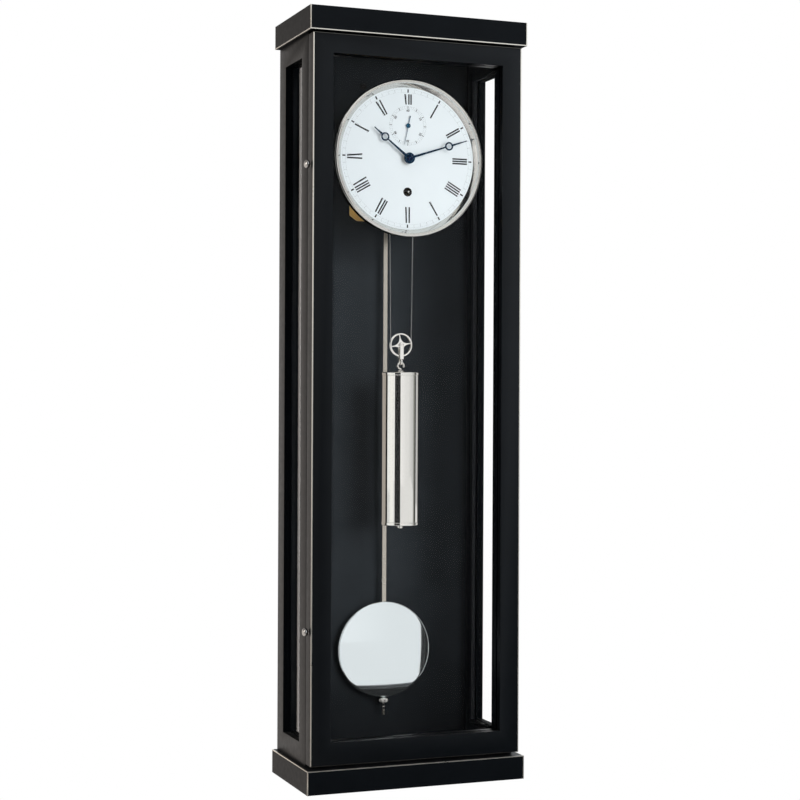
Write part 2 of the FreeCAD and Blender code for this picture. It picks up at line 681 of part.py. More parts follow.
def pillars():
    inside = s.front_plate_back + s.plate_gauge
    behind = s.back_plate_back + s.plate_gauge
    pillars_made = []
    standoffs = []
    panel = s.body_back - s.panel_thickness
    for corner, (x, rise) in pillar_places().items():
        z = dial_z(rise)
        barrel = post(f"pillar_{corner}", x, z, s.pillar_radius, inside, s.back_plate_back)
        tenon = post(f"tenon_{corner}", x, z, s.tenon_radius, s.front_plate_back - s.nut_height, behind)
        nut = doc.addObject("Part::Prism", f"pillar_nut_{corner}")
        nut.Polygon = NUT_SIDES
        bind(nut, {"Circumradius": s.nut_radius, "Height": s.nut_height})
        locate(nut, x, deep(s.front_plate_back - s.nut_height), z, BACKWARD)
        pillars_made.append(fuse(f"pillar_{corner}", barrel, tenon, nut))
        inward = x * s.standoff_across / s.pillar_across
        standoffs.append(post(f"standoff_{corner}", inward, z, s.standoff_radius, behind, panel))
    keep("plate_pillars", group("plate_pillars", *pillars_made))
    keep("movement_standoffs", group("movement_standoffs", *standoffs))


def dial():
    far = s.dial_back + s.dial_thickness
    disc = post("dial_disc", 0, dial_z(0), s.dial_radius, s.dial_back, far)
    sunk = s.dial_back + s.dial_thickness / 2
    feet = []
    for count, (right, up) in enumerate(((1, 1), (1, -1), (-1, 1), (-1, -1))):
        place = (right * s.foot_across, dial_z(up * s.foot_rise))
        feet.append(post(f"dial_foot{count}", *place, s.foot_radius, sunk, s.front_plate_back))
    winding = dial_z(-s.winding_drop)
    holes = [post("dial_centre", 0, dial_z(0), s.pipe_radius + s.pipe_play, s.dial_back, far),
             post("dial_seconds", 0, dial_z(s.seconds_rise), s.pivot_radius * 2, s.dial_back, far),
             post("dial_winding", 0, winding, s.grommet_radius, s.dial_back, far)]
    keep("dial", cut("dial", fuse("dial", disc, *feet), *holes))
    near = s.dial_back - s.grommet_proud
    grommet = post("grommet_blank", 0, winding, s.grommet_radius, near, near + s.grommet_length)
    bore = post("grommet_bore", 0, winding, s.grommet_bore, near, near + s.grommet_length)
    keep("winding_grommet", cut("winding_grommet", grommet, bore))


def bezel():
    deep_lip = s.dial_back - s.bezel_front
    gauge = s.sheet_gauge
    edge = s.bezel_edge
    outer = s.bezel_radius
    profile = [(s.bezel_lip, 0), (outer - edge, 0), (outer, edge), (outer, s.bezel_depth),
               (outer - gauge, s.bezel_depth), (outer - gauge, gauge), (s.bezel_lip + gauge / 2, gauge),
               (s.dial_view + gauge, deep_lip), (s.dial_view, deep_lip)]
    keep("bezel", turned("bezel", profile, 0, deep(s.bezel_front), dial_z(0)))


def arbor(name, place, front, front_radius, bar_end, back):
    """A square arbor with round pivots, between set-backs."""
    x, rise = place
    z = dial_z(rise)
    half = s.bar_side / 2
    bar_start = s.front_plate_back + s.plate_gauge + s.end_play
    bar = box(f"{name}_bar", (x - half, x + half), (deep(bar_start), deep(bar_end)), (z - half, z + half))
    nose = post(f"{name}_nose", x, z, front_radius, front, bar_start)
    tail = post(f"{name}_tail", x, z, s.pivot_radius, bar_end, back)
    return fuse(name, bar, nose, tail)


def train_arbors():
    end = s.back_plate_back - s.end_play
    far = s.back_plate_back + s.plate_gauge
    near = s.front_plate_back
    pivot = s.pivot_radius
    middle = (sized(0), sized(0))
    above = (sized(0), s.seconds_rise)
    return {"intermediate": arbor("intermediate_arbor", INTER, near, pivot, end, far),
            "third": arbor("third_arbor", THIRD, near, pivot, end, far),
            "centre": arbor("centre_arbor", middle, s.minute_hand_back, s.centre_radius, end, far),
            "escape": arbor("escape_arbor", above, s.seconds_hand_back - s.pivot_proud, pivot, end, far)}


def ratchet_outline(centre, teeth, tip, floor):
    points = []
    for k in range(int(teeth)):
        angle = 2 * math.pi * k / teeth
        points.append(ring_point(centre, tip, angle))
        points.append(ring_point(centre, floor, angle + RATCHET_LEAN * 2 * math.pi / teeth))
    return points


def winding_group():
    z = dial_z(-s.winding_drop)
    half = s.square_side / 2
    shoulder = s.square_back
    inner = s.back_plate_back - s.end_play
    span = (deep(s.square_front), deep(shoulder))
    square_end = box("winding_square", (-half, half), span, (z - half, z + half))
    shaft = post("winding_shaft", 0, z, s.winding_radius, shoulder, inner)
    tail = post("winding_tail", 0, z, s.winding_pivot, inner, s.back_plate_back + s.plate_gauge)
    keep("winding_arbor", fuse("winding_arbor", square_end, shaft, tail))
    bore = s.winding_radius
    flange = s.drum_flange
    barrel = s.drum_pitch - s.cable_radius - s.cable_gap
    gauge = s.flange_gauge
    long = s.drum_length
    profile = [(bore, 0), (flange, 0), (flange, gauge), (barrel, gauge), (barrel, long - gauge),
               (flange, long - gauge), (flange, long), (bore, long)]
    drum = turned("drum_barrel", profile, 0, deep(s.drum_front), z)
    place = spot(WINDING)
    tip = s.ratchet_radius.value
    outline = ratchet_outline(place, s.ratchet_teeth.value, tip, tip - s.ratchet_depth.value)
    far = s.drum_front + long
    ratchet = prism([outline, square(place, s.ratchet_square.value)], far, far + s.ratchet_gauge)
    keep("winding_drum", group("winding_drum", drum, solid("drum_ratchet", ratchet)))


def click_outline(place, tip):
    """The click's nose lies just outside the ratchet's teeth."""
    return [ring_point(place, tip + out, math.radians(angle)) for out, angle in CLICK_MARKS]


def great_wheel():
    """The great wheel on its bush, with the click that drives it from the ratchet."""
    place = spot(WINDING)
    hub = s.great_square
    half = hub / 2
    near = s.great_back
    far = near + s.great_gauge
    z = dial_z(-s.winding_drop)
    rim = wheel(place, s.great_teeth.value, s.great_module.value, 0, hub.value, near, far)
    bush = box("great_bush", (-half, half), (deep(near), deep(far)), (z - half, z + half))
    bore = post("great_bore", 0, z, s.winding_radius + s.running_gap, near, far)
    click = prism([click_outline(place, s.ratchet_radius.value)], near - s.ratchet_gauge, near)
    pieces = [solid("great_rim", rim), cut("great_bush", bush, bore), solid("great_click", click)]
    keep("great_wheel", group("great_wheel", *pieces))


def train_wheel(node, place, teeth, module, near):
    rim = wheel(place, teeth.value, module.value, 0, s.bar_side.value, near, near + s.wheel_gauge)
    keep(f"{node}_wheel", solid(f"{node}_wheel_rim", rim))


def driven_arbor(node, bar, place, leaves, module, driver, driver_teeth, near, far):
    """An arbor with the pinion that a wheel at driver turns."""
    phase = mesh_phase(driver, driver_teeth.value, 0, place, leaves.value)
    span = (near - s.leaf_proud, far + s.leaf_proud)
    teeth = pinion(place, leaves.value, module.value, phase, s.bar_side.value, *span)
    keep(f"{node}_arbor", group(f"{node}_arbor", bar, solid(f"{node}_leaves", teeth)))


def train_wheels(bars):
    winding, inter, third, escape = spot(WINDING), spot(INTER), spot(THIRD), spot(ESCAPE)
    thick = s.wheel_gauge
    great_wheel()
    train_wheel("intermediate", inter, s.inter_teeth, s.inter_module, s.inter_back)
    train_wheel("centre", CENTRE, s.centre_teeth, s.centre_module, s.centre_back)
    train_wheel("third", third, s.third_teeth, s.third_module, s.third_back)
    driven_arbor("intermediate", bars["intermediate"], inter, s.great_pinion, s.great_module,
                 winding, s.great_teeth, s.great_back, s.great_back + s.great_gauge)
    driven_arbor("centre", bars["centre"], CENTRE, s.centre_pinion, s.inter_module,
                 inter, s.inter_teeth, s.inter_back, s.inter_back + thick)
    driven_arbor("third", bars["third"], third, s.third_pinion, s.centre_module,
                 CENTRE, s.centre_teeth, s.centre_back, s.centre_back + thick)
    driven_arbor("escape", bars["escape"], escape, s.escape_pinion, s.third_module,
                 third, s.third_teeth, s.third_back, s.third_back + thick)


def escape_wheel():
    """A wheel of pointed teeth."""
    centre = spot(ESCAPE)
    tip = s.escape_radius.value
    floor = tip - s.escape_depth.value
    step = 2 * math.pi / s.escape_teeth.value
    marks = [(floor, ESCAPE_ROOTS[0])] + [(tip, share) for share in ESCAPE_TIPS] + [(floor, ESCAPE_ROOTS[1])]
    teeth = []
    for k in range(int(s.escape_teeth.value)):
        teeth += [ring_point(centre, radius, (k + share) * step) for radius, share in marks]
    windows = crossings(centre, s.escape_boss.value, floor - s.escape_rim.value)
    near = s.escape_back
    rim = prism([teeth, square(centre, s.bar_side.value)] + windows, near, near + s.wheel_gauge)
    keep("escape_wheel", solid("escape_wheel_rim", rim))


def anchor():
    """The anchor over the escape wheel, its pallets just clear of the teeth."""
    centre = spot(ESCAPE)
    pivot = spot(ANCHOR)
    nib = s.escape_radius.value + s.pallet_gap.value
    shoulders = [ring_point(pivot, s.anchor_boss.value, math.radians(angle)) for angle in ANCHOR_SHOULDERS]
    pallet = [ring_point(centre, nib + out, math.radians(angle)) for out, angle in PALLET_MARKS]
    right = shoulders[:1] + pallet + shoulders[1:]
    left = [(-x, z) for x, z in reversed(right)]
    span = (s.escape_back - s.leaf_proud, s.escape_back + s.wheel_gauge + s.leaf_proud)
    plate_shape = prism([right + left, square(pivot, s.bar_side.value)], *span)
    keep("anchor", solid("anchor_plate", plate_shape))


def crutch():
    bridge = s.cock_back
    bar = arbor("anchor_arbor", (sized(0), s.anchor_rise), s.front_plate_back, s.pivot_radius,
                bridge - s.end_play, bridge + s.cock_gauge)
    z = (dial_z(-s.crutch_drop - s.crutch_foot), dial_z(s.anchor_rise))
    half = s.crutch_half
    near = s.crutch_back
    far = near + s.crutch_gauge
    stem = box("crutch_stem", (-half, half), (deep(near), deep(far)), z)
    end = s.pendulum_back + s.crutch_gauge
    finger = post("crutch_finger", 0, dial_z(-s.crutch_drop), s.crutch_pin, near + s.crutch_gauge / 2, end)
    keep("crutch", fuse("crutch", bar, stem, finger))


def pendulum_cock():
    behind = s.back_plate_back + s.plate_gauge
    z = (dial_z(s.cock_low), dial_z(s.cock_high))
    far = s.cock_back + s.cock_gauge
    pieces = [box("cock_bridge", (-s.cock_half, s.cock_half), (deep(s.cock_back), deep(far)), z)]
    for side, sign in (("left", -1), ("right", 1)):
        leg = across(sign, s.cock_half - s.cock_leg, s.cock_half)
        pieces.append(box(f"cock_leg_{side}", leg, (deep(behind), deep(s.cock_back)), z))
    shelf = (high(s.spring_top + s.block_height), dial_z(s.cock_high))
    pieces.append(box("cock_arm", (-s.arm_half, s.arm_half), (deep(s.cock_back), deep(s.arm_back)), shelf))
    bore = post("cock_bore", 0, dial_z(s.anchor_rise), s.pivot_radius + s.running_gap, s.cock_back, far)
    keep("pendulum_cock", cut("pendulum_cock", fuse("cock", *pieces), bore))

    thin = s.spring_gauge / 2
    wide = s.spring_deep / 2
    y = deep(s.pendulum_back)
    span = (y - wide, y + wide)
    head = (high(s.spring_top), high(s.spring_top + s.block_height))
    strip = box("spring_strip", (-thin, thin), span, (high(s.spring_bottom), head[0]))
    block = box("spring_block", (-s.block_half, s.block_half), span, head)
    keep("suspension_spring", fuse("suspension_spring", strip, block))


def pendulum():
    y = deep(s.pendulum_back)
    half = s.rod_width / 2
    thin = s.rod_gauge / 2
    blade = box("rod_blade", (-half, half), (y - thin, y + thin), (high(s.rod_bottom), high(s.rod_top)))
    tip = rod("rod_tip", 0, y, high(s.tip_bottom), s.tip_radius, s.rod_bottom - s.tip_bottom + s.lap, UPRIGHT)
    side = s.clamp_half
    fore = s.clamp_deep / 2
    span = (y - fore, y + fore)
    clamp = box("rod_clamp", (-side, side), span, (high(s.rod_top - s.lap), high(s.clamp_top)))
    slot_half = s.slot_width / 2
    slot = box("rod_slot", (-slot_half, slot_half), span, (high(s.slot_bottom), high(s.clamp_top)))
    eye = (s.crutch_pin + s.finger_play, s.pendulum_back - fore, s.pendulum_back + fore)
    finger = post("rod_finger", 0, dial_z(-s.crutch_drop), *eye)
    keep("pendulum_rod", cut("pendulum_rod", fuse("pendulum_rod", blade, tip, clamp), slot, finger))

    low = high(s.rating_bottom)
    tall = s.rating_height
    nut = rod("rating_blank", 0, y, low, s.rating_radius, tall, UPRIGHT)
    bore = rod("rating_bore", 0, y, low, s.tip_radius + s.running_gap, tall, UPRIGHT)
    keep("rating_nut", cut("rating_nut", nut, bore))


def bob():
    """A lens of two shallow domes on a narrow rim, with a ferrule below."""
    z = high(s.bob_height)
    thick = s.bob_edge / 2 + s.bob_dome
    dome = (s.bob_radius * s.bob_radius + s.bob_dome * s.bob_dome) / (2 * s.bob_dome)
    lens = [post("bob_rim", 0, z, s.bob_radius, s.pendulum_back - thick * 2, s.pendulum_back + thick * 2)]
    for face, shift in (("front", dome - thick), ("back", thick - dome)):
        ball = doc.addObject("Part::Sphere", f"bob_{face}")
        bind(ball, {"Radius": dome})
        lens.append(locate(ball, 0, deep(s.pendulum_back + shift), z))
    body = lens[0]
    for face, ball in zip(("front", "back"), lens[1:]):
        shared = doc.addObject("Part::Common", f"bob_{face}_dome")
        shared.Base = body
        shared.Tool = ball
        body = shared
    y = deep(s.pendulum_back)
    rim = s.bob_height - s.bob_radius
    tall = rim + s.lap - s.ferrule_bottom
    ferrule = rod("bob_ferrule", 0, y, high(s.ferrule_bottom), s.ferrule_radius, tall, UPRIGHT)
    half = s.rod_width / 2
    thin = s.rod_gauge / 2
    rise = (high(s.rod_bottom), high(s.bob_height * 2))
    channel = box("bob_channel", (-half, half), (y - thin, y + thin), rise)
    thread = rod("bob_thread", 0, y, high(s.tip_bottom), s.tip_radius, s.rod_bottom - s.tip_bottom, UPRIGHT)
    keep("pendulum_bob", cut("pendulum_bob", fuse("bob", body, ferrule), channel, thread))


def cannon_pinion():
    half = s.cannon_square / 2
    near = s.cannon_back
    far = near + s.cannon_gauge
    z = dial_z(0)
    tube = post("cannon_tube", 0, z, s.cannon_radius, s.minute_hand_back, s.cannon_end)
    block = box("cannon_block", (-half, half), (deep(near), deep(far)), (z - half, z + half))
    bore = post("cannon_bore", 0, z, s.centre_radius, s.minute_hand_back, s.cannon_end)
    leaves = pinion(CENTRE, s.cannon_teeth.value, s.cannon_module.value, 0, s.cannon_square.value, near, far)
    core = cut("cannon", fuse("cannon", tube, block), bore)
    keep("cannon_pinion", group("cannon_pinion", core, solid("cannon_leaves", leaves)))


def minute_wheel():
    half = s.minute_square / 2
    hole = s.minute_square.value
    x, rise = MINUTE
    z = dial_z(rise)
    low = s.minute_back
    place = spot(MINUTE)
    sleeve = box("minute_sleeve", (x - half, x + half), (deep(low), deep(s.minute_end)), (z - half, z + half))
    bore = post("minute_bore", x, z, s.minute_stud + s.running_gap, low, s.minute_end)
    phase = mesh_phase(CENTRE, s.cannon_teeth.value, 0, place, s.minute_teeth.value)
    span = (s.cannon_back, s.cannon_back + s.wheel_gauge)
    rim = wheel(place, s.minute_teeth.value, s.cannon_module.value, phase, hole, *span)
    leaves = pinion(place, s.minute_pinion.value, s.hour_module.value, 0, hole, low, low + s.minute_gauge)
    pieces = [cut("minute_sleeve", sleeve, bore), solid("minute_rim", rim), solid("minute_leaves", leaves)]
    keep("minute_wheel", group("minute_wheel", *pieces))


def hour_wheel():
    half = s.hour_square / 2
    near = s.hour_back
    far = s.hour_end
    z = dial_z(0)
    pipe = post("hour_pipe", 0, z, s.pipe_radius, s.hour_hand_back, far)
    block = box("hour_block", (-half, half), (deep(near), deep(far)), (z - half, z + half))
    bore = post("hour_bore", 0, z, s.cannon_radius + s.running_gap, s.hour_hand_back, far)
    phase = mesh_phase(spot(MINUTE), s.minute_pinion.value, 0, CENTRE, s.hour_teeth.value)
    rim = wheel(CENTRE, s.hour_teeth.value, s.hour_module.value, phase, s.hour_square.value, near, far)
    core = cut("hour", fuse("hour", pipe, block), bore)
    keep("hour_wheel", group("hour_wheel", core, solid("hour_rim", rim)))


def flat_blade(y, z, gauge, marks):
    """A flat piece from points across and out from a hand's centre."""
    corners = [Vector(x, y, z + out) for x, out in marks]
    return Part.Face(Part.makePolygon(corners + corners[:1])).extrude(Vector(0, gauge, 0))


def hand_shape(near, angle, reach, ring, hole):
    """A tapered hand with an open ring, on a round hub."""
    y = deep(near).value
    z = dial_z(0).value
    gauge = s.hand_gauge.value
    r = s.ring_radius.value
    lap = s.ring_lap.value

    def disc(radius, out):
        return Part.makeCylinder(radius, gauge, Vector(0, y, z + out), Vector(0, 1, 0))

    def taper(low, low_half, top, top_half):
        marks = [(-low_half, low), (low_half, low), (top_half, top), (-top_half, top)]
        return flat_blade(y, z, gauge, marks)

    shank = taper(0, s.hand_root.value, ring - r + lap, s.hand_waist.value)
    point = taper(ring + r - lap, s.hand_neck.value, reach, s.hand_tip.value)
    shape = disc(s.hand_hub.value, 0).multiFuse([shank, disc(r, ring), point])
    shape = shape.cut(disc(r - s.ring_band.value, ring)).cut(disc(hole, 0))
    shape.rotate(Vector(0, y, z), Vector(0, 1, 0), angle)
    return shape


def seconds_hand():
    y = deep(s.seconds_hand_back).value
    z = dial_z(s.seconds_rise).value
    wide = s.tail_half.value
    fine = s.point_half.value
    tail = -s.seconds_tail.value
    tip = s.seconds_reach.value
    marks = [(-wide, tail), (wide, tail), (wide, 0), (fine, tip), (-fine, tip), (-wide, 0)]
    blade = flat_blade(y, z, s.seconds_gauge.value, marks)
    front = Vector(0, y - s.hub_proud.value, z)
    thick = s.seconds_hub_gauge.value
    hub = Part.makeCylinder(s.seconds_hub.value, thick, front, Vector(0, 1, 0))
    hole = Part.makeCylinder(s.pivot_radius.value, thick, front, Vector(0, 1, 0))
    shape = blade.fuse(hub).cut(hole)
    shape.rotate(Vector(0, y, z), Vector(0, 1, 0), s.seconds_angle.value)
    keep("seconds_hand", solid("seconds_blade", shape))


def hands():
    near = s.minute_hand_back
    form = (s.minute_reach.value, s.minute_ring.value, s.cannon_radius.value)
    minute = hand_shape(near, s.minute_angle.value, *form)
    profile = [(s.cap_rise * out, s.cap_rise * along) for out, along in CAP_PROFILE]
    cap = turned("hand_cap", profile, 0, deep(near - s.cap_rise), dial_z(0))
    keep("minute_hand", group("minute_hand", solid("minute_blade", minute), cap))
    near = s.hour_hand_back
    form = (s.hour_reach.value, s.hour_ring.value, s.pipe_radius.value)
    hour = hand_shape(near, s.hour_angle.value, *form)
    keep("hour_hand", solid("hour_blade", hour))
    seconds_hand()


def weight():
    y = deep(s.cable_back)
    low = s.weight_bottom + s.cap_height
    top = s.weight_top - s.cap_height
    wall = s.weight_radius - s.weight_wall
    tube = rod("shell_tube", 0, y, high(low), s.weight_radius, top - low, UPRIGHT)
    bore = rod("shell_bore", 0, y, high(low), wall, top - low, UPRIGHT)
    keep("weight_shell", cut("weight_shell", tube, bore))
    full = s.weight_top - s.weight_bottom
    hole = rod("weight_hole", 0, y, high(s.weight_bottom), s.spindle_radius, full, UPRIGHT)
    core = rod("core_blank", 0, y, high(low), wall - s.core_play, top - low, UPRIGHT)
    keep("weight_core", cut("weight_core", core, hole))
    caps = []
    for end, floor in (("low", s.weight_bottom), ("high", top)):
        blank = rod(f"cap_{end}", 0, y, high(floor), s.cap_radius, s.cap_height, UPRIGHT)
        caps.append(cut(f"cap_{end}", blank, hole))
    keep("weight_caps", group("weight_caps", *caps))


def bent_wire(path, start, heading):
    """A round wire swept along joined edges."""
    ring = Part.Wire(Part.makeCircle(s.wire_radius.value, start, heading))
    return Part.Wire(path).makePipeShell([ring], True, False)


def weight_hook():
    y = deep(s.cable_back)
    low = high(s.weight_bottom)
    tall = s.weight_nut_height
    nut = rod("spindle_nut", 0, y, low - tall, s.weight_nut, tall, UPRIGHT)
    spindle = rod("spindle", 0, y, low, s.spindle_radius, s.weight_top - s.weight_bottom, UPRIGHT)
    collar = rod("hook_collar", 0, y, high(s.weight_top), s.collar_radius, s.collar_height, UPRIGHT)
    middle = Vector(0, y.value, high(s.hook_height).value)
    r = s.hook_radius.value

    def arc_point(degrees):
        angle = math.radians(degrees)
        return middle + Vector(r * math.cos(angle), 0, r * math.sin(angle))

    bend = Part.Arc(*[arc_point(degrees) for degrees in HOOK_ARC]).toShape()
    turn = math.radians(HOOK_ARC[0])
    heading = Vector(-math.sin(turn), 0, math.cos(turn))
    hook = solid("hook_bend", bent_wire([bend], arc_point(HOOK_ARC[0]), heading))
    tall = s.hook_height - s.weight_top - s.hook_radius
    neck = rod("hook_neck", 0, y, high(s.weight_top), s.wire_radius, tall, UPRIGHT)
    keep("weight_hook", fuse("weight_hook", nut, spindle, collar, neck, hook))


def pulley():
    half = s.pulley_half
    r = s.pulley_radius
    floor = s.pulley_pitch - s.cable_radius - s.cable_gap
    inner = s.pulley_inner
    profile = [(inner, 0), (r, 0), (r, half - s.groove_mouth), (floor, half - s.groove_floor),
               (floor, half + s.groove_floor), (r, half + s.groove_mouth),
               (r, half * 2), (inner, half * 2)]
    z = high(s.pulley_height)
    rim = turned("pulley_rim", profile, 0, deep(s.cable_back) - half, z)
    centre = (0, s.pulley_height.value - s.dial_height.value)
    reach = inner.value + s.spoke_lap.value
    lean = math.radians(s.spoke_lean.value)
    step = 2 * math.pi / PULLEY_ARMS
    marks = ((reach, -lean), (reach, lean), (s.star_waist.value, step / 2))
    star = []
    for k in range(PULLEY_ARMS):
        angle = step * k - math.radians(s.spoke_turn.value)
        star += [ring_point(centre, radius, angle + turn) for radius, turn in marks]
    middle = s.cable_back
    spokes = solid("pulley_spokes", prism([star], middle - s.spoke_half, middle + s.spoke_half))
    hub = post("pulley_hub", 0, z, s.pulley_hub, middle - half, middle + half)
    bore = post("pulley_bore", 0, z, s.axle_radius + s.running_gap, middle - half, middle + half)
    keep("pulley", cut("pulley", fuse("pulley", rim, spokes, hub), bore))


def pulley_stirrup():
    half = s.strap_half
    gauge = s.strap_gauge
    near = s.pulley_half + s.strap_gap
    far = near + gauge
    middle = s.cable_back
    end = far + s.axle_proud
    z = (high(s.strap_bottom), high(s.pulley_height + s.strap_rise))
    wide = (-half, half)
    pieces = [box("strap_front", wide, (deep(middle - far), deep(middle - near)), z),
              box("strap_back", wide, (deep(middle + near), deep(middle + far)), z),
              box("strap_floor", wide, (deep(middle - far), deep(middle + far)), (z[0], z[0] + gauge)),
              post("pulley_axle", 0, high(s.pulley_height), s.axle_radius, middle - end, middle + end)]
    eye = doc.addObject("Part::Torus", "strap_eye")
    bind(eye, {"Radius1": s.eye_radius, "Radius2": s.wire_radius})
    locate(eye, 0, deep(middle), high(s.strap_bottom - s.eye_radius + s.eye_lap), RIGHTWARD)
    keep("pulley_stirrup", fuse("pulley_stirrup", *pieces, eye))


def cable():
    """A cable that comes down from the drum, goes round the pulley and up to the fixed peg."""
    marks = cable_marks()
    runs = [Part.LineSegment(marks["drum"], marks["right"]).toShape(),
            Part.Arc(marks["right"], marks["low"], marks["left"]).toShape(),
            Part.LineSegment(marks["left"], marks["fixed"]).toShape()]
    ring = Part.Wire(Part.makeCircle(s.cable_radius.value, marks["drum"], marks["right"] - marks["drum"]))
    keep("weight_cable", solid("cable_run", Part.Wire(runs).makePipeShell([ring], True, False)))


def write_out():
    doc.recompute()
    for thing in doc.Objects:
        if "Invalid" in thing.State or "Error" in thing.State:
            raise RuntimeError(f"{thing.Label} did not recompute")
    os.makedirs("parts", exist_ok=True)
    for node, thing in kept.items():
        if thing.Shape.isNull() or not thing.Shape.isValid() or not thing.Shape.Solids:
            raise RuntimeError(f"{node} has no valid solid")
        thing.Shape.exportStep(f"parts/{node}.step")
    print(len(kept), "nodes written")


cornice_and_plinth()
case_sides()
back_panel()
wall_hanger()
hinges()
door()
plates()
pillars()
dial()
bezel()
winding_group()
train_wheels(train_arbors())
escape_wheel()
anchor()
crutch()
pendulum_cock()
pendulum()
bob()
cannon_pinion()
minute_wheel()
hour_wheel()
hands()
weight()
weight_hook()
pulley()
pulley_stirrup()
cable()
write_out()
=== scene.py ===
"""The looks of a regulator wall clock: its finishes, turned metalwork, dial print, cable and studio."""

import math

import bmesh
import bpy
from bpy.props import FloatProperty, FloatVectorProperty, PointerProperty
from bpy.types import Operator, Panel, PropertyGroup
from mathutils import Matrix, Vector


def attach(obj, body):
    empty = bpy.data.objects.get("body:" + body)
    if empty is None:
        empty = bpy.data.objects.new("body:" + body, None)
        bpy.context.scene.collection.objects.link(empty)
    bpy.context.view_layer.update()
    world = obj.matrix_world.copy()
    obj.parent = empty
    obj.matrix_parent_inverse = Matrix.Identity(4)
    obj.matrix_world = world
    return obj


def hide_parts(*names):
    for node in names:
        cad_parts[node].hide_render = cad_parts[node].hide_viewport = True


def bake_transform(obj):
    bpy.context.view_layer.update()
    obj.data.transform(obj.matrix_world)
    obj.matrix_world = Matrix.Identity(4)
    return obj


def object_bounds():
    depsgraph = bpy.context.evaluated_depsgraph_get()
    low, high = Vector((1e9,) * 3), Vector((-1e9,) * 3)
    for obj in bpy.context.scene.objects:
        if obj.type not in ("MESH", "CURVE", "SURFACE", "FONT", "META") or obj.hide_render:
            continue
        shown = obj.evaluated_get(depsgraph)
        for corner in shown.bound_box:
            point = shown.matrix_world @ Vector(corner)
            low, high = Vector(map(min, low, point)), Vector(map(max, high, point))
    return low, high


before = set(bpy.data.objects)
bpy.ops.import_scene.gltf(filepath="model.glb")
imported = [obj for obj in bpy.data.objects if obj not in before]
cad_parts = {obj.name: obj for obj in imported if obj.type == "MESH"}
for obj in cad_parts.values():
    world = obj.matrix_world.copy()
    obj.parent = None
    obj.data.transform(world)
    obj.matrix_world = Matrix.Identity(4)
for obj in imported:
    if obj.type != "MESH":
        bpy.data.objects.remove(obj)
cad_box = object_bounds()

bl_info = {
    "name": "Regulator wall clock",
    "version": (1, 0, 0),
    "blender": (4, 5, 0),
    "location": "View3D > Sidebar > Regulator",
    "description": "Dresses the regulator wall clock's frame and sets its studio",
    "category": "Object",
}

# Millimetres: right of the middle, back from the cornice's front, and up from the plinth's underside.
MM = 0.001
MICRON = 0.000001
CASE_DEPTH = 145
HANG_HEIGHT = 880
DIAL_HEIGHT = 777.5
DIAL_FRONT = 45
BEZEL_FRONT = 36.8
WINDING_DROP = 41.7
SECONDS_RISE = 41
CABLE_BACK = 66
PENDULUM_BACK = 123
BOB_HEIGHT = 153.3
PANEL_FACE = 135
SHARP = math.radians(38)
FORWARD = Vector((0, -1, 0))
BACKWARD = Vector((0, 1, 0))
UPWARD = Vector((0, 0, 1))
LEFTWARD = Vector((-1, 0, 0))
SIDES = (("left", -1), ("right", 1))


def at(x, setback, height):
    """A point in the row frame, in metres."""
    return Vector((x, setback - CASE_DEPTH, height - HANG_HEIGHT)) * MM


# Sizes and colours


def tone(name, description, value):
    return FloatVectorProperty(name=name, description=description, subtype="COLOR", size=4,
                               default=(*value, 1))


def measure(name, description, value, unit="LENGTH"):
    return FloatProperty(name=name, description=description, unit=unit, default=value)


class ClockFinishes(PropertyGroup):
    """Colours and edge sizes of the clock's finishes."""

    lacquer: tone("Lacquer", "Satin black of the case", (0.0022, 0.0031, 0.0042))
    trim: tone("Trim", "Satin nickel of the inlaid lines", (0.82, 0.77, 0.68))
    nickel: tone("Nickel", "Polished nickel of the weight and bezel", (0.87, 0.86, 0.82))
    brass: tone("Brass", "Brass of the movement", (0.92, 0.68, 0.26))
    steel: tone("Steel", "Bright steel of the arbors", (0.56, 0.57, 0.58))
    blue: tone("Blue", "Heat-blued steel of the hands", (0.008, 0.036, 0.064))
    dial: tone("Dial", "White of the dial", (0.835, 0.90, 0.925))
    ink: tone("Ink", "Black of the dial's print", (0.012, 0.012, 0.014))
    board_edge: measure("Board edge", "Rounding of the case's edges", 0.0006)
    bead_edge: measure("Bead edge", "Rounding of the glass beads", 0.0002)
    trim_edge: measure("Trim edge", "Rounding of the inlaid lines", 0.00012)
    metal_edge: measure("Metal edge", "Rounding of the movement's edges", 0.00015)
    rod_edge: measure("Rod edge", "Rounding of the pendulum rod", 0.0004)


class DialLayout(PropertyGroup):
    """Sizes of the dial's print, from the dial's centre."""

    numeral_inner: measure("Numeral foot", "Inner radius of the numerals", 0.0605)
    numeral_outer: measure("Numeral head", "Outer radius of the numerals", 0.0805)
    bold: measure("Bold stroke", "Width of a numeral's bold stroke", 0.0019)
    hair: measure("Hair stroke", "Width of a fine line", 0.00016)
    track_inner: measure("Track inside", "Inner radius of the minute track", 0.0825)
    track_outer: measure("Track outside", "Outer radius of the minute track", 0.0865)
    seconds_inner: measure("Seconds inside", "Inner radius of the seconds track", 0.0212)
    seconds_outer: measure("Seconds outside", "Outer radius of the seconds track", 0.0246)
    number_height: measure("Seconds numbers", "Height of the seconds numbers", 0.004)


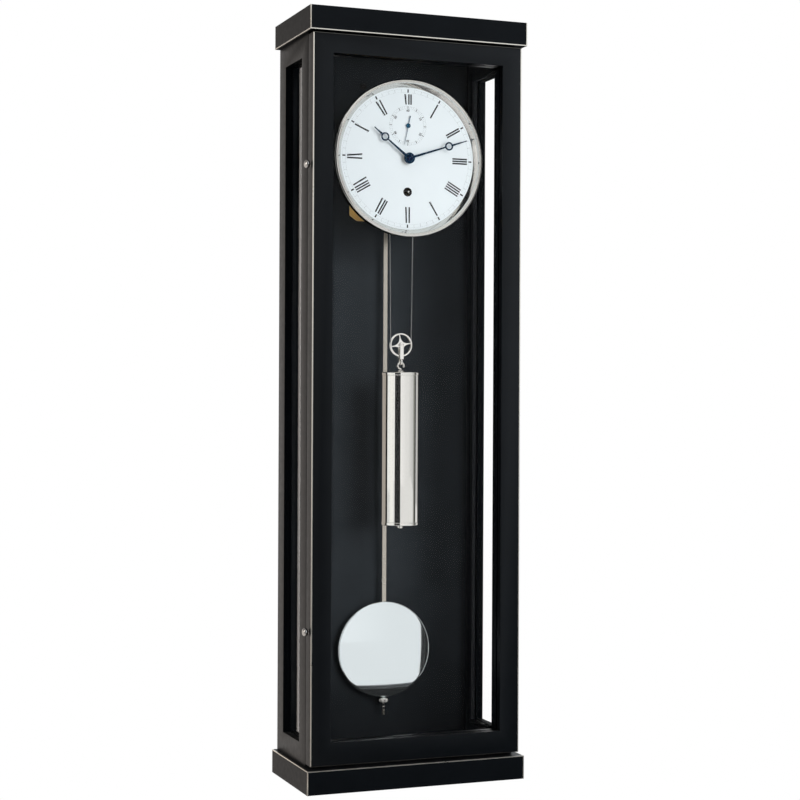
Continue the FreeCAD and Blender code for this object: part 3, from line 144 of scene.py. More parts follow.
class StudioSet(PropertyGroup):
    """Camera and lamps."""

    camera_place: FloatVectorProperty(
        name="Camera place", description="Where the camera stands", subtype="XYZ", unit="LENGTH",
        default=(-0.8019, -2.1606, -0.3963))
    yaw: measure("Yaw", "Camera's turn to the right", math.radians(21.0514), "ROTATION")
    pitch: measure("Pitch", "Camera's tilt up", math.radians(-0.2095), "ROTATION")
    roll: measure("Roll", "Camera's lean", math.radians(0.2625), "ROTATION")
    lens: measure("Lens", "Focal length on a 36 mm frame", 79.51, "CAMERA")
    ambient: measure("Ambient", "World light on matt surfaces", 0.26, "NONE")
    key_power: measure("Key", "Soft box at the right of the front", 46.5, "POWER")
    side_power: measure("Side", "Warm soft box at the left", 18, "POWER")
    top_power: measure("Top", "Soft box over the clock", 6, "POWER")
    floor_drop: measure("Floor drop", "Floor's distance below the plinth", 0.36)


# Shader nodes

# Places of a mix node's sockets: its mask, its two numbers, its two colours and the mixed colour.
MIX_MASK, MIX_NUMBERS, MIX_COLOURS, MIXED_COLOUR = 0, (2, 3), (6, 7), 2


def plug(tree, socket, value):
    """Links a socket to another, or sets its value."""
    if isinstance(value, bpy.types.NodeSocket):
        tree.links.new(value, socket)
    else:
        socket.default_value = value


def joined(tree, kind, inputs=(), **settings):
    """Adds a node with its settings, and plugs its inputs."""
    node = tree.nodes.new(kind)
    for name, value in settings.items():
        setattr(node, name, value)
    for name, value in dict(inputs).items():
        plug(tree, node.inputs[name], value)
    return node


def maths(tree, operation, *values):
    return joined(tree, "ShaderNodeMath", enumerate(values), operation=operation).outputs[0]


def vectors(tree, operation, *values):
    node = joined(tree, "ShaderNodeVectorMath", enumerate(values), operation=operation)
    return node.outputs["Value" if operation == "LENGTH" else "Vector"]


def parted(tree, vector):
    """The X, Y and Z of a vector."""
    return joined(tree, "ShaderNodeSeparateXYZ", {"Vector": vector}).outputs


def surface_place(tree):
    return tree.nodes.new("ShaderNodeTexCoord").outputs["Object"]


def ranged(tree, value, low, high, start=0.3, end=0.7):
    """A value brought from one range to another."""
    inputs = {"Value": value, "From Min": start, "From Max": end, "To Min": low, "To Max": high}
    return joined(tree, "ShaderNodeMapRange", inputs).outputs["Result"]


def noise(tree, scale, detail, place=None, roughness=0.5):
    inputs = {"Vector": place or surface_place(tree), "Scale": scale, "Detail": detail,
              "Roughness": roughness}
    return joined(tree, "ShaderNodeTexNoise", inputs).outputs["Fac"]


def between(tree, mask, near, far):
    """A number between two, by a mask."""
    inputs = {MIX_MASK: mask, **dict(zip(MIX_NUMBERS, (near, far)))}
    return joined(tree, "ShaderNodeMix", inputs).outputs[0]


def tinted(tree, mask, near, far):
    """A colour between two, by a mask."""
    inputs = {MIX_MASK: mask, **dict(zip(MIX_COLOURS, (near, far)))}
    return joined(tree, "ShaderNodeMix", inputs, data_type="RGBA").outputs[MIXED_COLOUR]


def bumped(tree, height, microns):
    """A normal with the ripple of a height."""
    inputs = {"Height": height, "Distance": microns * MICRON, "Strength": 1.0}
    return joined(tree, "ShaderNodeBump", inputs).outputs["Normal"]


def mixed_surface(tree, share, first, second):
    """Sets the surface to a mix of two shaders."""
    mix = joined(tree, "ShaderNodeMixShader", {0: share, 1: first.outputs[0], 2: second.outputs[0]})
    tree.links.new(mix.outputs["Shader"], tree.nodes["Material Output"].inputs["Surface"])


# Shared effects

GRIT_FINENESS, GRIT_SHARE = 4.0, 0.35


def mottle(tree, given):
    """Slow uneven patches, from Low to High."""
    return ranged(tree, noise(tree, given["Scale"], detail=5.0, roughness=0.6), given["Low"], given["High"])


def coat_peel(tree, given):
    """The fine ripple of a sprayed or printed coat."""
    ripple = noise(tree, given["Scale"], detail=2.0)
    grit = noise(tree, maths(tree, "MULTIPLY", given["Scale"], GRIT_FINENESS), detail=3.0)
    return maths(tree, "MULTIPLY_ADD", grit, GRIT_SHARE, ripple)


def brushed_lines(tree, given):
    """Fine lines drawn out along the axis with the smallest stretch."""
    return noise(tree, 1.0, 4.0, vectors(tree, "MULTIPLY", surface_place(tree), given["Stretch"]))


def lathe_lines(tree, given):
    """Fine rings round an axis, as a lathe tool and polish leave them."""
    away = vectors(tree, "SUBTRACT", surface_place(tree), given["Centre"])
    along = vectors(tree, "PROJECT", away, given["Axis"])
    radius = vectors(tree, "LENGTH", vectors(tree, "SUBTRACT", away, along))
    both = maths(tree, "ADD", radius, vectors(tree, "LENGTH", along))
    inputs = {"W": maths(tree, "MULTIPLY", both, given["Scale"]), "Scale": 1.0, "Detail": 4.0}
    return joined(tree, "ShaderNodeTexNoise", inputs, noise_dimensions="1D").outputs["Fac"]


def settled_dust(tree, given):
    """A thin settled dust on what faces up."""
    normal = tree.nodes.new("ShaderNodeNewGeometry").outputs["Normal"]
    facing = ranged(tree, parted(tree, normal)["Z"], 0.0, 1.0, start=0.5, end=1.0)
    specks = ranged(tree, noise(tree, given["Scale"], detail=6.0), 0.2, 1.0, start=0.4, end=0.75)
    return maths(tree, "MULTIPLY", maths(tree, "MULTIPLY", facing, specks), given["Amount"])


# Each effect's maker, the name of its output, and its inputs.
EFFECTS = {
    "mottle": (mottle, "Value", {"Scale": 40.0, "Low": 0.0, "High": 1.0}),
    "coat_peel": (coat_peel, "Height", {"Scale": 700.0}),
    "brushed_lines": (brushed_lines, "Lines", {"Stretch": (3000.0, 3000.0, 30.0)}),
    "lathe_lines": (lathe_lines, "Lines",
                    {"Centre": (0.0, 0.0, 0.0), "Axis": (0.0, 1.0, 0.0), "Scale": 2500.0}),
    "settled_dust": (settled_dust, "Mask", {"Amount": 0.2, "Scale": 900.0}),
}


def effect_group(name):
    """Builds an effect's node group, with named inputs and one output."""
    maker, output, inputs = EFFECTS[name]
    tree = bpy.data.node_groups.new(name, "ShaderNodeTree")
    for label, value in inputs.items():
        kind = "NodeSocketVector" if isinstance(value, tuple) else "NodeSocketFloat"
        tree.interface.new_socket(label, in_out="INPUT", socket_type=kind).default_value = value
    tree.interface.new_socket(output, in_out="OUTPUT", socket_type="NodeSocketFloat")
    given = tree.nodes.new("NodeGroupInput").outputs
    tree.links.new(maker(tree, given), tree.nodes.new("NodeGroupOutput").inputs[output])
    return tree


def placed(tree, name, **inputs):
    """Places a shared effect in a material and returns its output."""
    node = tree.nodes.new("ShaderNodeGroup")
    node.node_tree = bpy.data.node_groups.get(name) or effect_group(name)
    for label, value in inputs.items():
        node.inputs[label].default_value = value
    return node.outputs[0]


# Finishes

DUST = (0.35, 0.34, 0.32, 1)
EVEN_GRAIN = (1800.0, 1800.0, 1800.0)
ACROSS_GRAIN = (60.0, 2500.0, 2500.0)
UPRIGHT_GRAIN = (2500.0, 2500.0, 60.0)


def drawn(stretch):
    return "brushed_lines", {"Stretch": stretch}


def lathed(centre, axis):
    return "lathe_lines", {"Centre": tuple(centre), "Axis": tuple(axis)}


# Colour, or the name of its property, and its share; least and most roughness, peel in microns, and gloss.
COATS = {
    "satin_black_lacquer": ("lacquer", 1, 0.34, 0.42, 20, 0.17),
    "black_cornice_lacquer": ("lacquer", 1, 0.36, 0.44, 20, 0.072),
    "matt_black_rebate": ("lacquer", 0.5, 0.5, 0.6, 5, 0.02),
    "matt_black_panel": ((0.028, 0.033, 0.0375), 1, 0.45, 0.55, 3, 0.03),
    "matt_black_plastic": ((0.014, 0.013, 0.013), 1, 0.35, 0.5, 10, 0.3),
    "dial_ink": ("ink", 1, 0.4, 0.55, 6, 0.3),
}

# Colour and its share as above; least and most roughness, tool lines, their depth in microns, and metallic.
METALS = {
    "satin_nickel_trim": ("trim", 1, 0.26, 0.36, drawn(EVEN_GRAIN), 4, 1),
    "door_line_nickel": ("trim", 1, 0.26, 0.36, drawn(EVEN_GRAIN), 4, 1),
    "satin_nickel_rod": ("trim", 0.66, 0.2, 0.3, drawn(UPRIGHT_GRAIN), 3, 1),
    "polished_nickel": ("nickel", 1, 0.07, 0.13, drawn(UPRIGHT_GRAIN), 0.4, 1),
    "bright_nickel": ((0.97, 0.96, 0.92), 1, 0.07, 0.13, drawn(UPRIGHT_GRAIN), 0.4, 1),
    "grey_nickel_knob": ((0.46, 0.46, 0.455), 1, 0.06, 0.1, drawn(ACROSS_GRAIN), 0.5, 1),
    "turned_nickel": ("nickel", 0.86, 0.05, 0.1, lathed(at(0, BEZEL_FRONT, DIAL_HEIGHT), BACKWARD), 0.4, 1),
    "polished_bob": ((0.86, 0.93, 0.95), 1, 0.04, 0.075,
                     lathed(at(0, PENDULUM_BACK, BOB_HEIGHT), BACKWARD), 0.2, 0.97),
    "polished_shell": ("nickel", 1, 0.035, 0.06, lathed(at(0, CABLE_BACK, 0), UPWARD), 0.1, 0.97),
    "brushed_brass": ("brass", 1, 0.26, 0.38, drawn(UPRIGHT_GRAIN), 4, 0.4),
    "bright_steel": ("steel", 1, 0.2, 0.3, drawn(ACROSS_GRAIN), 2, 1),
    "burnished_steel": ((0.06, 0.06, 0.062), 1, 0.35, 0.5, drawn(UPRIGHT_GRAIN), 2, 1),
    "steel_wire": ((0.36, 0.36, 0.36), 1, 0.3, 0.42, drawn((2500.0, 2500.0, 200.0)), 2, 1),
    "zinc_plate": ((0.55, 0.56, 0.57), 1, 0.32, 0.5, drawn((400.0, 400.0, 400.0)), 6, 1),
    "cast_iron": ((0.2, 0.2, 0.2), 1, 0.55, 0.75, drawn((900.0, 900.0, 900.0)), 80, 1),
}

# Bloom on the blue, and the share of the blue's own colour.
BLUED_STEELS = {
    "heat_blued_steel": ((0.006, 0.016, 0.07, 1), 1),
    "violet_blued_steel": ((0.022, 0.02, 0.16, 1), 0.5),
    "pale_blued_steel": ((0.01, 0.11, 0.2, 1), 2.4),
}

# Index of refraction, which a coat brings down, and tint.
GLASSES = {
    "clear_float_glass": (1.45, (0.985, 0.993, 0.99, 1)),
    "coated_door_glass": (1.1, (1, 1, 1, 1)),
    "coated_side_glass": (1.02, (1, 1, 1, 1)),
}


def toned(colour, share=1):
    """A colour, by its values or its property's name, times a share."""
    if isinstance(colour, str):
        colour = getattr(bpy.context.scene.clock_finishes, colour)
    return tuple(channel * share for channel in colour[:3]) + (1,)


def blank_finish(name):
    material = bpy.data.materials.new(name)
    material.use_nodes = True
    return material, material.node_tree, material.node_tree.nodes["Principled BSDF"]


def shade(tree, shader, **values):
    """Plugs the shader's inputs by their names."""
    for name, value in values.items():
        plug(tree, shader.inputs[name.replace("_", " ")], value)


def coat_finish(name):
    """A sprayed coat: uneven gloss, a fine peel and a little dust on top."""
    colour, share, low, high, peel, gloss = COATS[name]
    material, tree, shader = blank_finish(name)
    patches = placed(tree, "mottle", Scale=22.0)
    coat = tinted(tree, patches, toned(colour, share * 0.86), toned(colour, share * 1.12))
    shade(tree, shader, Base_Color=tinted(tree, placed(tree, "settled_dust", Amount=0.05), coat, DUST),
          Roughness=placed(tree, "mottle", Scale=140.0, Low=low, High=high), Specular_IOR_Level=gloss,
          Normal=bumped(tree, placed(tree, "coat_peel", Scale=650.0), peel))
    return material


def metal_finish(name):
    """Plated or polished metal with a faint uneven gloss over its tool lines."""
    colour, share, low, high, (effect, inputs), depth, metal = METALS[name]
    material, tree, shader = blank_finish(name)
    lines = placed(tree, effect, **inputs)
    colours = toned(colour, share * 0.93), toned(colour, share)
    shade(tree, shader, Base_Color=tinted(tree, ranged(tree, lines, 0.0, 1.0), *colours), Metallic=metal,
          Roughness=placed(tree, "mottle", Scale=60.0, Low=low, High=high), Normal=bumped(tree, lines, depth))
    return material


def blue_finish(name):
    """Heat-blued steel, with a violet bloom in places."""
    bloom, share = BLUED_STEELS[name]
    material, tree, shader = blank_finish(name)
    patches = placed(tree, "mottle", Scale=160.0, High=0.5)
    lines = placed(tree, "brushed_lines", Stretch=(1500.0, 1500.0, 1500.0))
    shade(tree, shader, Base_Color=tinted(tree, patches, toned("blue", share), bloom), Metallic=0.9,
          Roughness=placed(tree, "mottle", Scale=300.0, Low=0.2, High=0.32), Normal=bumped(tree, lines, 2))
    return material


def dial_finish(name):
    """Smooth white paint with a faint cool unevenness."""
    material, tree, shader = blank_finish(name)
    patches = placed(tree, "mottle", Scale=18.0)
    shade(tree, shader, Base_Color=tinted(tree, patches, toned("dial", 0.985), toned("dial", 1.01)),
          Roughness=placed(tree, "mottle", Scale=220.0, Low=0.42, High=0.5), Specular_IOR_Level=0.3,
          Normal=bumped(tree, placed(tree, "coat_peel", Scale=1500.0), 4))
    return material


def glass_finish(name):
    """Clear glass that lets the lamps through to what is behind it."""
    bend, tint = GLASSES[name]
    material, tree, shader = blank_finish(name)
    smears = placed(tree, "mottle", Scale=12.0, High=0.004)
    shade(tree, shader, Roughness=smears, Base_Color=tint, Transmission_Weight=1.0, IOR=bend)
    shadow = tree.nodes.new("ShaderNodeLightPath").outputs["Is Shadow Ray"]
    mixed_surface(tree, shadow, shader, tree.nodes.new("ShaderNodeBsdfTransparent"))
    return material


def overpainted(material, mask, colour):
    """Lays a colour over a finish, by a mask."""
    tree = material.node_tree
    base = tree.nodes["Principled BSDF"].inputs["Base Color"]
    tree.links.new(tinted(tree, mask, base.links[0].from_socket, colour), base)
    return material


# The panel's painted shade, a near black along its foot and its two edges: the axis, its depth at each end,
# and where the change starts and ends, in metres.
PANEL_PAINTED_SHADE = (("Z", 0.65, 0.0, -0.82, -0.6), ("X", 0.0, 0.42, 0.01, 0.08), ("X", 0.85, 0.0, -0.074, -0.064))
PANEL_FRONT = (-0.0075, -0.0065)
PAINTED_SHADE_BLACK = (0.001, 0.001, 0.0012, 1)


def panel_finish(name):
    """The back panel's matt coat, with painted shade deepest along its foot and its two edges."""
    material = coat_finish(name)
    tree = material.node_tree
    parts = parted(tree, surface_place(tree))
    # Painted shade: near black laid over the coat along the panel's foot and edges, standing in for the shade
    # that the case casts there.
    painted_shade = 0.0
    for axis, *levels in PANEL_PAINTED_SHADE:
        painted_shade = maths(tree, "MAXIMUM", ranged(tree, parts[axis], *levels), painted_shade)
    face = ranged(tree, parts["Y"], 1.0, 0.0, *PANEL_FRONT)
    return overpainted(material, maths(tree, "MULTIPLY", painted_shade, face), PAINTED_SHADE_BLACK)


DOOR_LOW, DOOR_HIGH = 33.4, 918.4
END_LINES = (-0.0008, -0.0006)
END_SHADE_SHARE = 0.14


def door_line_finish(name):
    """The trim's nickel, with painted shade dimming the fine lines along the door's ends."""
    material = metal_finish(name)
    tree = material.node_tree
    middle = at(0, 0, (DOOR_LOW + DOOR_HIGH) / 2).z
    half = (DOOR_HIGH - DOOR_LOW) / 2 * MM
    height = parted(tree, surface_place(tree))["Z"]
    away = maths(tree, "ABSOLUTE", maths(tree, "SUBTRACT", height, middle))
    # Painted shade: both of the door's fine end lines are darkened, standing in for the shadow under the
    # cornice.
    shaded_ends = ranged(tree, away, 0.0, 1.0, half + END_LINES[0], half + END_LINES[1])
    return overpainted(material, shaded_ends, toned("trim", END_SHADE_SHARE))


FINISH_MAKERS = {
    **dict.fromkeys(COATS, coat_finish), **dict.fromkeys(METALS, metal_finish),
    **dict.fromkeys(BLUED_STEELS, blue_finish), **dict.fromkeys(GLASSES, glass_finish),
    "white_dial_paint": dial_finish, "matt_black_panel": panel_finish, "door_line_nickel": door_line_finish,
}
SLOT_FINISHES = {
    "black_lacquer": "satin_black_lacquer", "nickel_trim": "satin_nickel_trim",
    "polished_nickel": "polished_nickel", "clear_glass": "clear_float_glass", "zinc_steel": "zinc_plate",
    "brass": "brushed_brass", "steel": "bright_steel", "dial_white": "white_dial_paint",
    "blued_steel": "heat_blued_steel", "black_plastic": "matt_black_plastic", "iron": "cast_iron",
}
made_finishes = {}


def stock_finish(name):
    """A finish by its name, made the first time that it is asked for."""
    if name not in made_finishes:
        made_finishes[name] = FINISH_MAKERS[name](name)
    return made_finishes[name]


def slot_of(name):
    """The record's finish of a frame node, from the material that it came with."""
    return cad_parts[name].data.materials[0].name.split(".")[0]


# Shapes

CORNER_SHARE = 0.45
ON_AXIS = 1e-4
SAME_PLACE = 1e-7
DOME_TILTS = (30, 60)


def rounded(profile, radius, steps=4, closed=False):
    """The profile's points with its corners rounded."""
    points = [Vector(point) for point in profile]
    last = len(points) - 1
    out = []
    for i, point in enumerate(points):
        if not closed and i in (0, last):
            out.append(point)
            continue
        before = points[i - 1] - point
        after = points[(i + 1) % len(points)] - point
        reach = min(radius, CORNER_SHARE * before.length, CORNER_SHARE * after.length)
        start = point + before.normalized() * reach
        end = point + after.normalized() * reach
        for k in range(steps + 1):
            t = k / steps
            out.append(start * (1 - t) ** 2 + point * 2 * t * (1 - t) + end * t ** 2)
    return out


def bridge(bm, low, top):
    """Faces between two rings of vertices. A ring of one vertex is a point."""
    count = max(len(low), len(top))
    for k in range(count):
        after = (k + 1) % count
        corners = []
        for ring, order in ((low, (k, after)), (top, (after, k))):
            corners += ring if len(ring) == 1 else [ring[i] for i in order]
        bm.faces.new(corners)


def skin(bm, rings, closed=False):
    """Faces from each ring to the next, and from the last to the first if closed."""
    for low, top in zip(rings, rings[1:] + rings[:1] if closed else rings[1:]):
        bridge(bm, low, top)


def block(bm, rings):
    """A closed solid from rings, with a flat face at each end."""
    skin(bm, rings)
    bm.faces.new(rings[0])
    bm.faces.new(list(reversed(rings[-1])))


def round_ring(bm, middle, side, across, sides, radius, swell, along):
    """Adds a ring of vertices. swell gives the share of its radius at an angle and a length."""
    ring = []
    for k in range(sides):
        angle = 2 * math.pi * k / sides
        reach = radius * (swell(angle, along) if swell else 1)
        ring.append(bm.verts.new(middle + (side * math.cos(angle) + across * math.sin(angle)) * reach))
    return ring


def turn(bm, profile, foot, axis, steps, ease=0, closed=False, swell=None):
    """Adds a round piece from (radius, distance along the axis) in millimetres, its corners eased."""
    side = axis.orthogonal().normalized()
    across = axis.cross(side)
    rings = []
    for radius, along in rounded(profile, ease, closed=closed) if ease else profile:
        middle = foot + axis * along * MM
        if radius < ON_AXIS:
            rings.append([bm.verts.new(middle)])
        else:
            rings.append(round_ring(bm, middle, side, across, steps, radius * MM, swell, along))
    skin(bm, rings, closed)


def tube(bm, path, radius, sides, closed=False, swell=None):
    """Adds a round bar along points, with domed ends unless it is closed."""
    count = len(path)
    rings = []
    normal = None
    run = 0.0
    for i, point in enumerate(path):
        ahead = path[(i + 1) % count] if closed or i + 1 < count else point
        behind = path[i - 1] if closed or i else point
        heading = (ahead - behind).normalized()
        normal = heading.orthogonal() if normal is None else normal - heading * normal.dot(heading)
        normal.normalize()
        run += (point - path[i - 1]).length if i else 0.0
        rings.append(round_ring(bm, point, normal, heading.cross(normal), sides, radius, swell, run))
    skin(bm, rings, closed)
    if closed:
        return
    for ring, tip, inner in ((rings[0], path[0], path[1]), (rings[-1], path[-1], path[-2])):
        out = (tip - inner).normalized()
        domes = [ring]
        for tilt in DOME_TILTS:
            spread = math.cos(math.radians(tilt))
            rise = out * math.sin(math.radians(tilt)) * radius
            domes.append([bm.verts.new(tip + (vert.co - tip) * spread + rise) for vert in ring])
        skin(bm, domes + [[bm.verts.new(tip + out * radius)]])


def upright_ring(bm, outline, setback):
    """Adds a ring of vertices, across and up from the dial's centre."""
    return [bm.verts.new(at(x, setback, DIAL_HEIGHT + up)) for x, up in outline]


def prism(bm, outline, near, far):
    """Adds a flat piece from points across and up from the dial's centre, between set-backs."""
    block(bm, [upright_ring(bm, outline, setback) for setback in (near, far)])


def sheet(bm, outlines, setback, gauge, edge, centre=(0, DIAL_HEIGHT)):
    """Adds a piece cut from sheet with softened edges: its rim's outline, then its holes'."""
    curve = bpy.data.curves.new("blank", "CURVE")
    curve.dimensions = "2D"
    curve.fill_mode = "BOTH"
    curve.extrude = (gauge / 2 - edge) * MM
    curve.bevel_depth = edge * MM
    curve.bevel_resolution = 2
    curve.offset = -edge * MM
    for outline in outlines:
        spline = curve.splines.new("POLY")
        spline.points.add(len(outline) - 1)
        for point, (x, up) in zip(spline.points, outline):
            point.co = (x * MM, up * MM, 0, 1)
        spline.use_cyclic_u = True
    add_curve(bm, curve, at(centre[0], setback + gauge / 2, centre[1]))


def curve_mesh(curve):
    """A curve's mesh, in place of the curve."""
    holder = bpy.data.objects.new("blank", curve)
    mesh = bpy.data.meshes.new_from_object(holder)
    bpy.data.objects.remove(holder)
    bpy.data.curves.remove(curve)
    return mesh


def add_curve(bm, curve, place, angle=0):
    """Adds a flat curve's mesh, stood upright to face the front."""
    blank = curve_mesh(curve)
    upright = Matrix.Rotation(math.radians(90), 4, "X") @ Matrix.Rotation(-angle, 4, "Z")
    blank.transform(Matrix.Translation(place) @ upright)
    bm.from_mesh(blank)
    bpy.data.meshes.remove(blank)


def spoke(centre, radius, angle):
    """The point of a circle at a clock angle."""
    return centre[0] + radius * math.sin(angle), centre[1] + radius * math.cos(angle)


def circle(centre, radius, steps, start=0.0, sweep=2 * math.pi):
    """Points on a circle by clock angle."""
    whole = abs(sweep) >= 2 * math.pi - 1e-6
    span = steps if whole else steps - 1
    return [spoke(centre, radius, start + sweep * k / span) for k in range(steps)]


def turned_about(points, angle):
    """Points turned clockwise about the origin."""
    c, s = math.cos(angle), math.sin(angle)
    return [(x * c + y * s, y * c - x * s) for x, y in points]


def fitted(name, bm, finish, body, slot, *nodes):
    """Makes a piece of a mesh, that rides on a body and stands for nodes."""
    bmesh.ops.remove_doubles(bm, verts=bm.verts, dist=SAME_PLACE)
    bmesh.ops.recalc_face_normals(bm, faces=bm.faces)
    mesh = bpy.data.meshes.new(name)
    bm.to_mesh(mesh)
    bm.free()
    mesh.materials.append(stock_finish(finish))
    mesh.shade_smooth()
    mesh.set_sharp_from_angle(angle=SHARP)
    piece = bpy.data.objects.new(name, mesh)
    bpy.context.scene.collection.objects.link(piece)
    if body:
        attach(piece, body)
    if nodes:
        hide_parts(*nodes)
    return piece


def turned(name, turnings, finish, body, slot, *nodes):
    """Makes a piece of turnings: each a profile, foot, axis and steps, and any easing, closing and swell."""
    bm = bmesh.new()
    for turning in turnings:
        turn(bm, *turning)
    return fitted(name, bm, finish, body, slot, *nodes)


def dress(names, edge=0, finish=None):
    """Gives frame nodes a finish, their slot's unless one is named, and softens their edges."""
    for name in names:
        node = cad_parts[name]
        material = stock_finish(finish or SLOT_FINISHES[slot_of(name)])
        node.data.materials.clear()
        node.data.materials.append(material)
        if not edge:
            continue
        weld = node.modifiers.new("joined", "WELD")
        weld.merge_threshold = 1e-6
        bevel = node.modifiers.new("softened", "BEVEL")
        bevel.width = edge
        bevel.segments = 2
        bevel.limit_method = "ANGLE"
        bevel.angle_limit = SHARP
        shading = node.modifiers.new("shading", "WEIGHTED_NORMAL")
        shading.keep_sharp = False


# Weight cable

CABLE_DIAMETER = 0.0013
CABLE_LAY = 0.0085
CABLE_STRANDS = 6
STRAND_DEPTH = 0.07
# The drum, a point above the pulley, the four corners under it, a point above it and the peg, in metres.
CABLE_ROUTE = (
    (0.015999, -0.079, -0.14402), (0.01389, -0.079, -0.327), (0.0138, -0.079, -0.34072),
    (0.00572, -0.079, -0.3488), (-0.00572, -0.079, -0.3488), (-0.0138, -0.079, -0.34072),
    (-0.01389, -0.079, -0.327), (-0.015786, -0.079, -0.1625))


def cable_line():
    """Points along the cable's smooth line."""
    curve = bpy.data.curves.new("cable_line", "CURVE")
    curve.dimensions = "3D"
    curve.resolution_u = 60
    spline = curve.splines.new("NURBS")
    spline.points.add(len(CABLE_ROUTE) - 1)
    for point, place in zip(spline.points, CABLE_ROUTE):
        point.co = (*place, 1)
    spline.order_u = 3
    spline.use_endpoint_u = True
    line = curve_mesh(curve)
    points = [vert.co.copy() for vert in line.vertices]
    bpy.data.meshes.remove(line)
    return points


def strands(angle, run):
    """The rope's lobes, that wind round it once in its lay."""
    lobe = math.cos(CABLE_STRANDS * (angle - 2 * math.pi * run / CABLE_LAY))
    return 1 - STRAND_DEPTH + STRAND_DEPTH * lobe


class REGULATOR_OT_cable(Operator):
    """Lays the weight's wire cable from the drum round the pulley to its peg"""

    bl_idname = "regulator.cable"
    bl_label = "Weight cable"

    def execute(self, context):
        points = cable_line()
        bm = bmesh.new()
        tube(bm, points, CABLE_DIAMETER / 2, sides=24, swell=strands)
        cable = fitted("lifting_cable", bm, "steel_wire", None, "steel", "weight_cable")
        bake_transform(cable)
        return {"FINISHED"}


# Case

TRIM_WIDTH = 1.2
LINE_WIDTH = 0.5
BODY_HALF = 137.5
DOOR_NEAR, DOOR_FAR, DOOR_GLASS = 5, 24.5, 14.1
# Loops round a frame: low and high across, and low and high up.
DOOR_OPENING = (-111.8, 111.8, 61.2, 894.6)
SIDE_BOARD = (25.5, 141, 29.2, 920.8)
SIDE_OPENING = (50.4, 116.4, 56, 894)
SIDE_OUT, SIDE_GLASS, SIDE_IN = 137.5, 128.4, 120.5
REBATE = 6


def grown(loop, by_x, by_z):
    return loop[0] - by_x, loop[1] + by_x, loop[2] - by_z, loop[3] + by_z


def corner_ring(bm, loop, place, depth):
    """Adds a loop's four corners at a depth."""
    low_u, high_u, low_v, high_v = loop
    corners = ((low_u, low_v), (high_u, low_v), (high_u, high_v), (low_u, high_v))
    return [bm.verts.new(place(u, v, depth)) for u, v in corners]


def front_place(x, z, y):
    return at(x, y, z)


def side_place(sign):
    """Places points back, up and out on one side of the case."""
    return lambda y, z, x: at(sign * x, y, z)


def glazed_frame(bm, loops, place, ease):
    """Adds a frame whose section follows closed loops and depths, with softened edges."""
    section = rounded(loops, ease, steps=3, closed=True)
    skin(bm, [corner_ring(bm, loop, place, depth) for *loop, depth in section], True)


def door_loops():
    whole = (-BODY_HALF, BODY_HALF, DOOR_LOW, DOOR_HIGH)
    face = grown(whole, -TRIM_WIDTH, -LINE_WIDTH)
    sunk = grown(DOOR_OPENING, REBATE, REBATE)
    step = DOOR_NEAR + TRIM_WIDTH
    return [(*face, DOOR_NEAR), (*face, step), (*whole, step), (*whole, DOOR_FAR), (*sunk, DOOR_FAR),
            (*sunk, DOOR_GLASS), (*DOOR_OPENING, DOOR_GLASS), (*DOOR_OPENING, DOOR_NEAR)]


def side_loops():
    sunk = grown(SIDE_OPENING, REBATE, REBATE)
    return [(*SIDE_BOARD, SIDE_OUT), (*SIDE_BOARD, SIDE_IN), (*sunk, SIDE_IN), (*sunk, SIDE_GLASS),
            (*SIDE_OPENING, SIDE_GLASS), (*SIDE_OPENING, SIDE_OUT)]


def matt_rebates(piece):
    """Gives a side frame's window rebate a deeper black than its faces."""
    near, far, bottom, top = grown(SIDE_OPENING, 1, 1)
    low, high = at(0, near, bottom), at(0, far, top)
    piece.data.materials.append(stock_finish("matt_black_rebate"))
    for face in piece.data.polygons:
        middle = face.center
        inside = low.y <= middle.y <= high.y and low.z <= middle.z <= high.z
        if inside and abs(face.normal.x) < 0.5:
            face.material_index = 1


class REGULATOR_OT_case(Operator):
    """Joins the side frames and the door's frame without seams, and lacquers the case"""

    bl_idname = "regulator.case"
    bl_label = "Case and door frame"

    def execute(self, context):
        edges = context.scene.clock_finishes
        ease = edges.board_edge / MM
        dress(("cornice", "plinth"), edges.board_edge, "black_cornice_lacquer")
        dress(("back_panel",), finish="matt_black_panel")
        dress(("side_glass_beads", "door_glass_beads"), edges.bead_edge, "satin_black_lacquer")
        bm = bmesh.new()
        glazed_frame(bm, door_loops(), front_place, ease)
        fitted("door_frame", bm, "satin_black_lacquer", "door", "black_lacquer",
               "door_left_stile", "door_right_stile", "door_rails")
        for side, sign in SIDES:
            bm = bmesh.new()
            glazed_frame(bm, side_loops(), side_place(sign), ease)
            board = fitted(f"{side}_case_side", bm, "satin_black_lacquer", "case", "black_lacquer",
                           f"{side}_side_frame")
            matt_rebates(board)
        return {"FINISHED"}


class REGULATOR_OT_trim(Operator):
    """Finishes the inlaid nickel lines"""

    bl_idname = "regulator.trim"
    bl_label = "Inlaid lines"

    def execute(self, context):
        edge = context.scene.clock_finishes.trim_edge
        dress(("cornice_trim", "plinth_trim"), edge, "satin_nickel_trim")
        dress(("door_trim",), edge, "door_line_nickel")
        return {"FINISHED"}


PANE_THICKNESS = 3
PANE_PLAY = 0.5
PANE_ARRIS = 0.4
PANE_FINISHES = {"left": "clear_float_glass", "right": "coated_side_glass"}


def pane_block(bm, place):
    """Adds a side pane with ground edges."""
    whole = grown(SIDE_OPENING, REBATE - PANE_PLAY, REBATE - PANE_PLAY)
    face = grown(whole, -PANE_ARRIS, -PANE_ARRIS)
    far = SIDE_GLASS - PANE_THICKNESS
    depths = ((face, SIDE_GLASS), (whole, SIDE_GLASS - PANE_ARRIS), (whole, far + PANE_ARRIS), (face, far))
    block(bm, [corner_ring(bm, loop, place, depth) for loop, depth in depths])


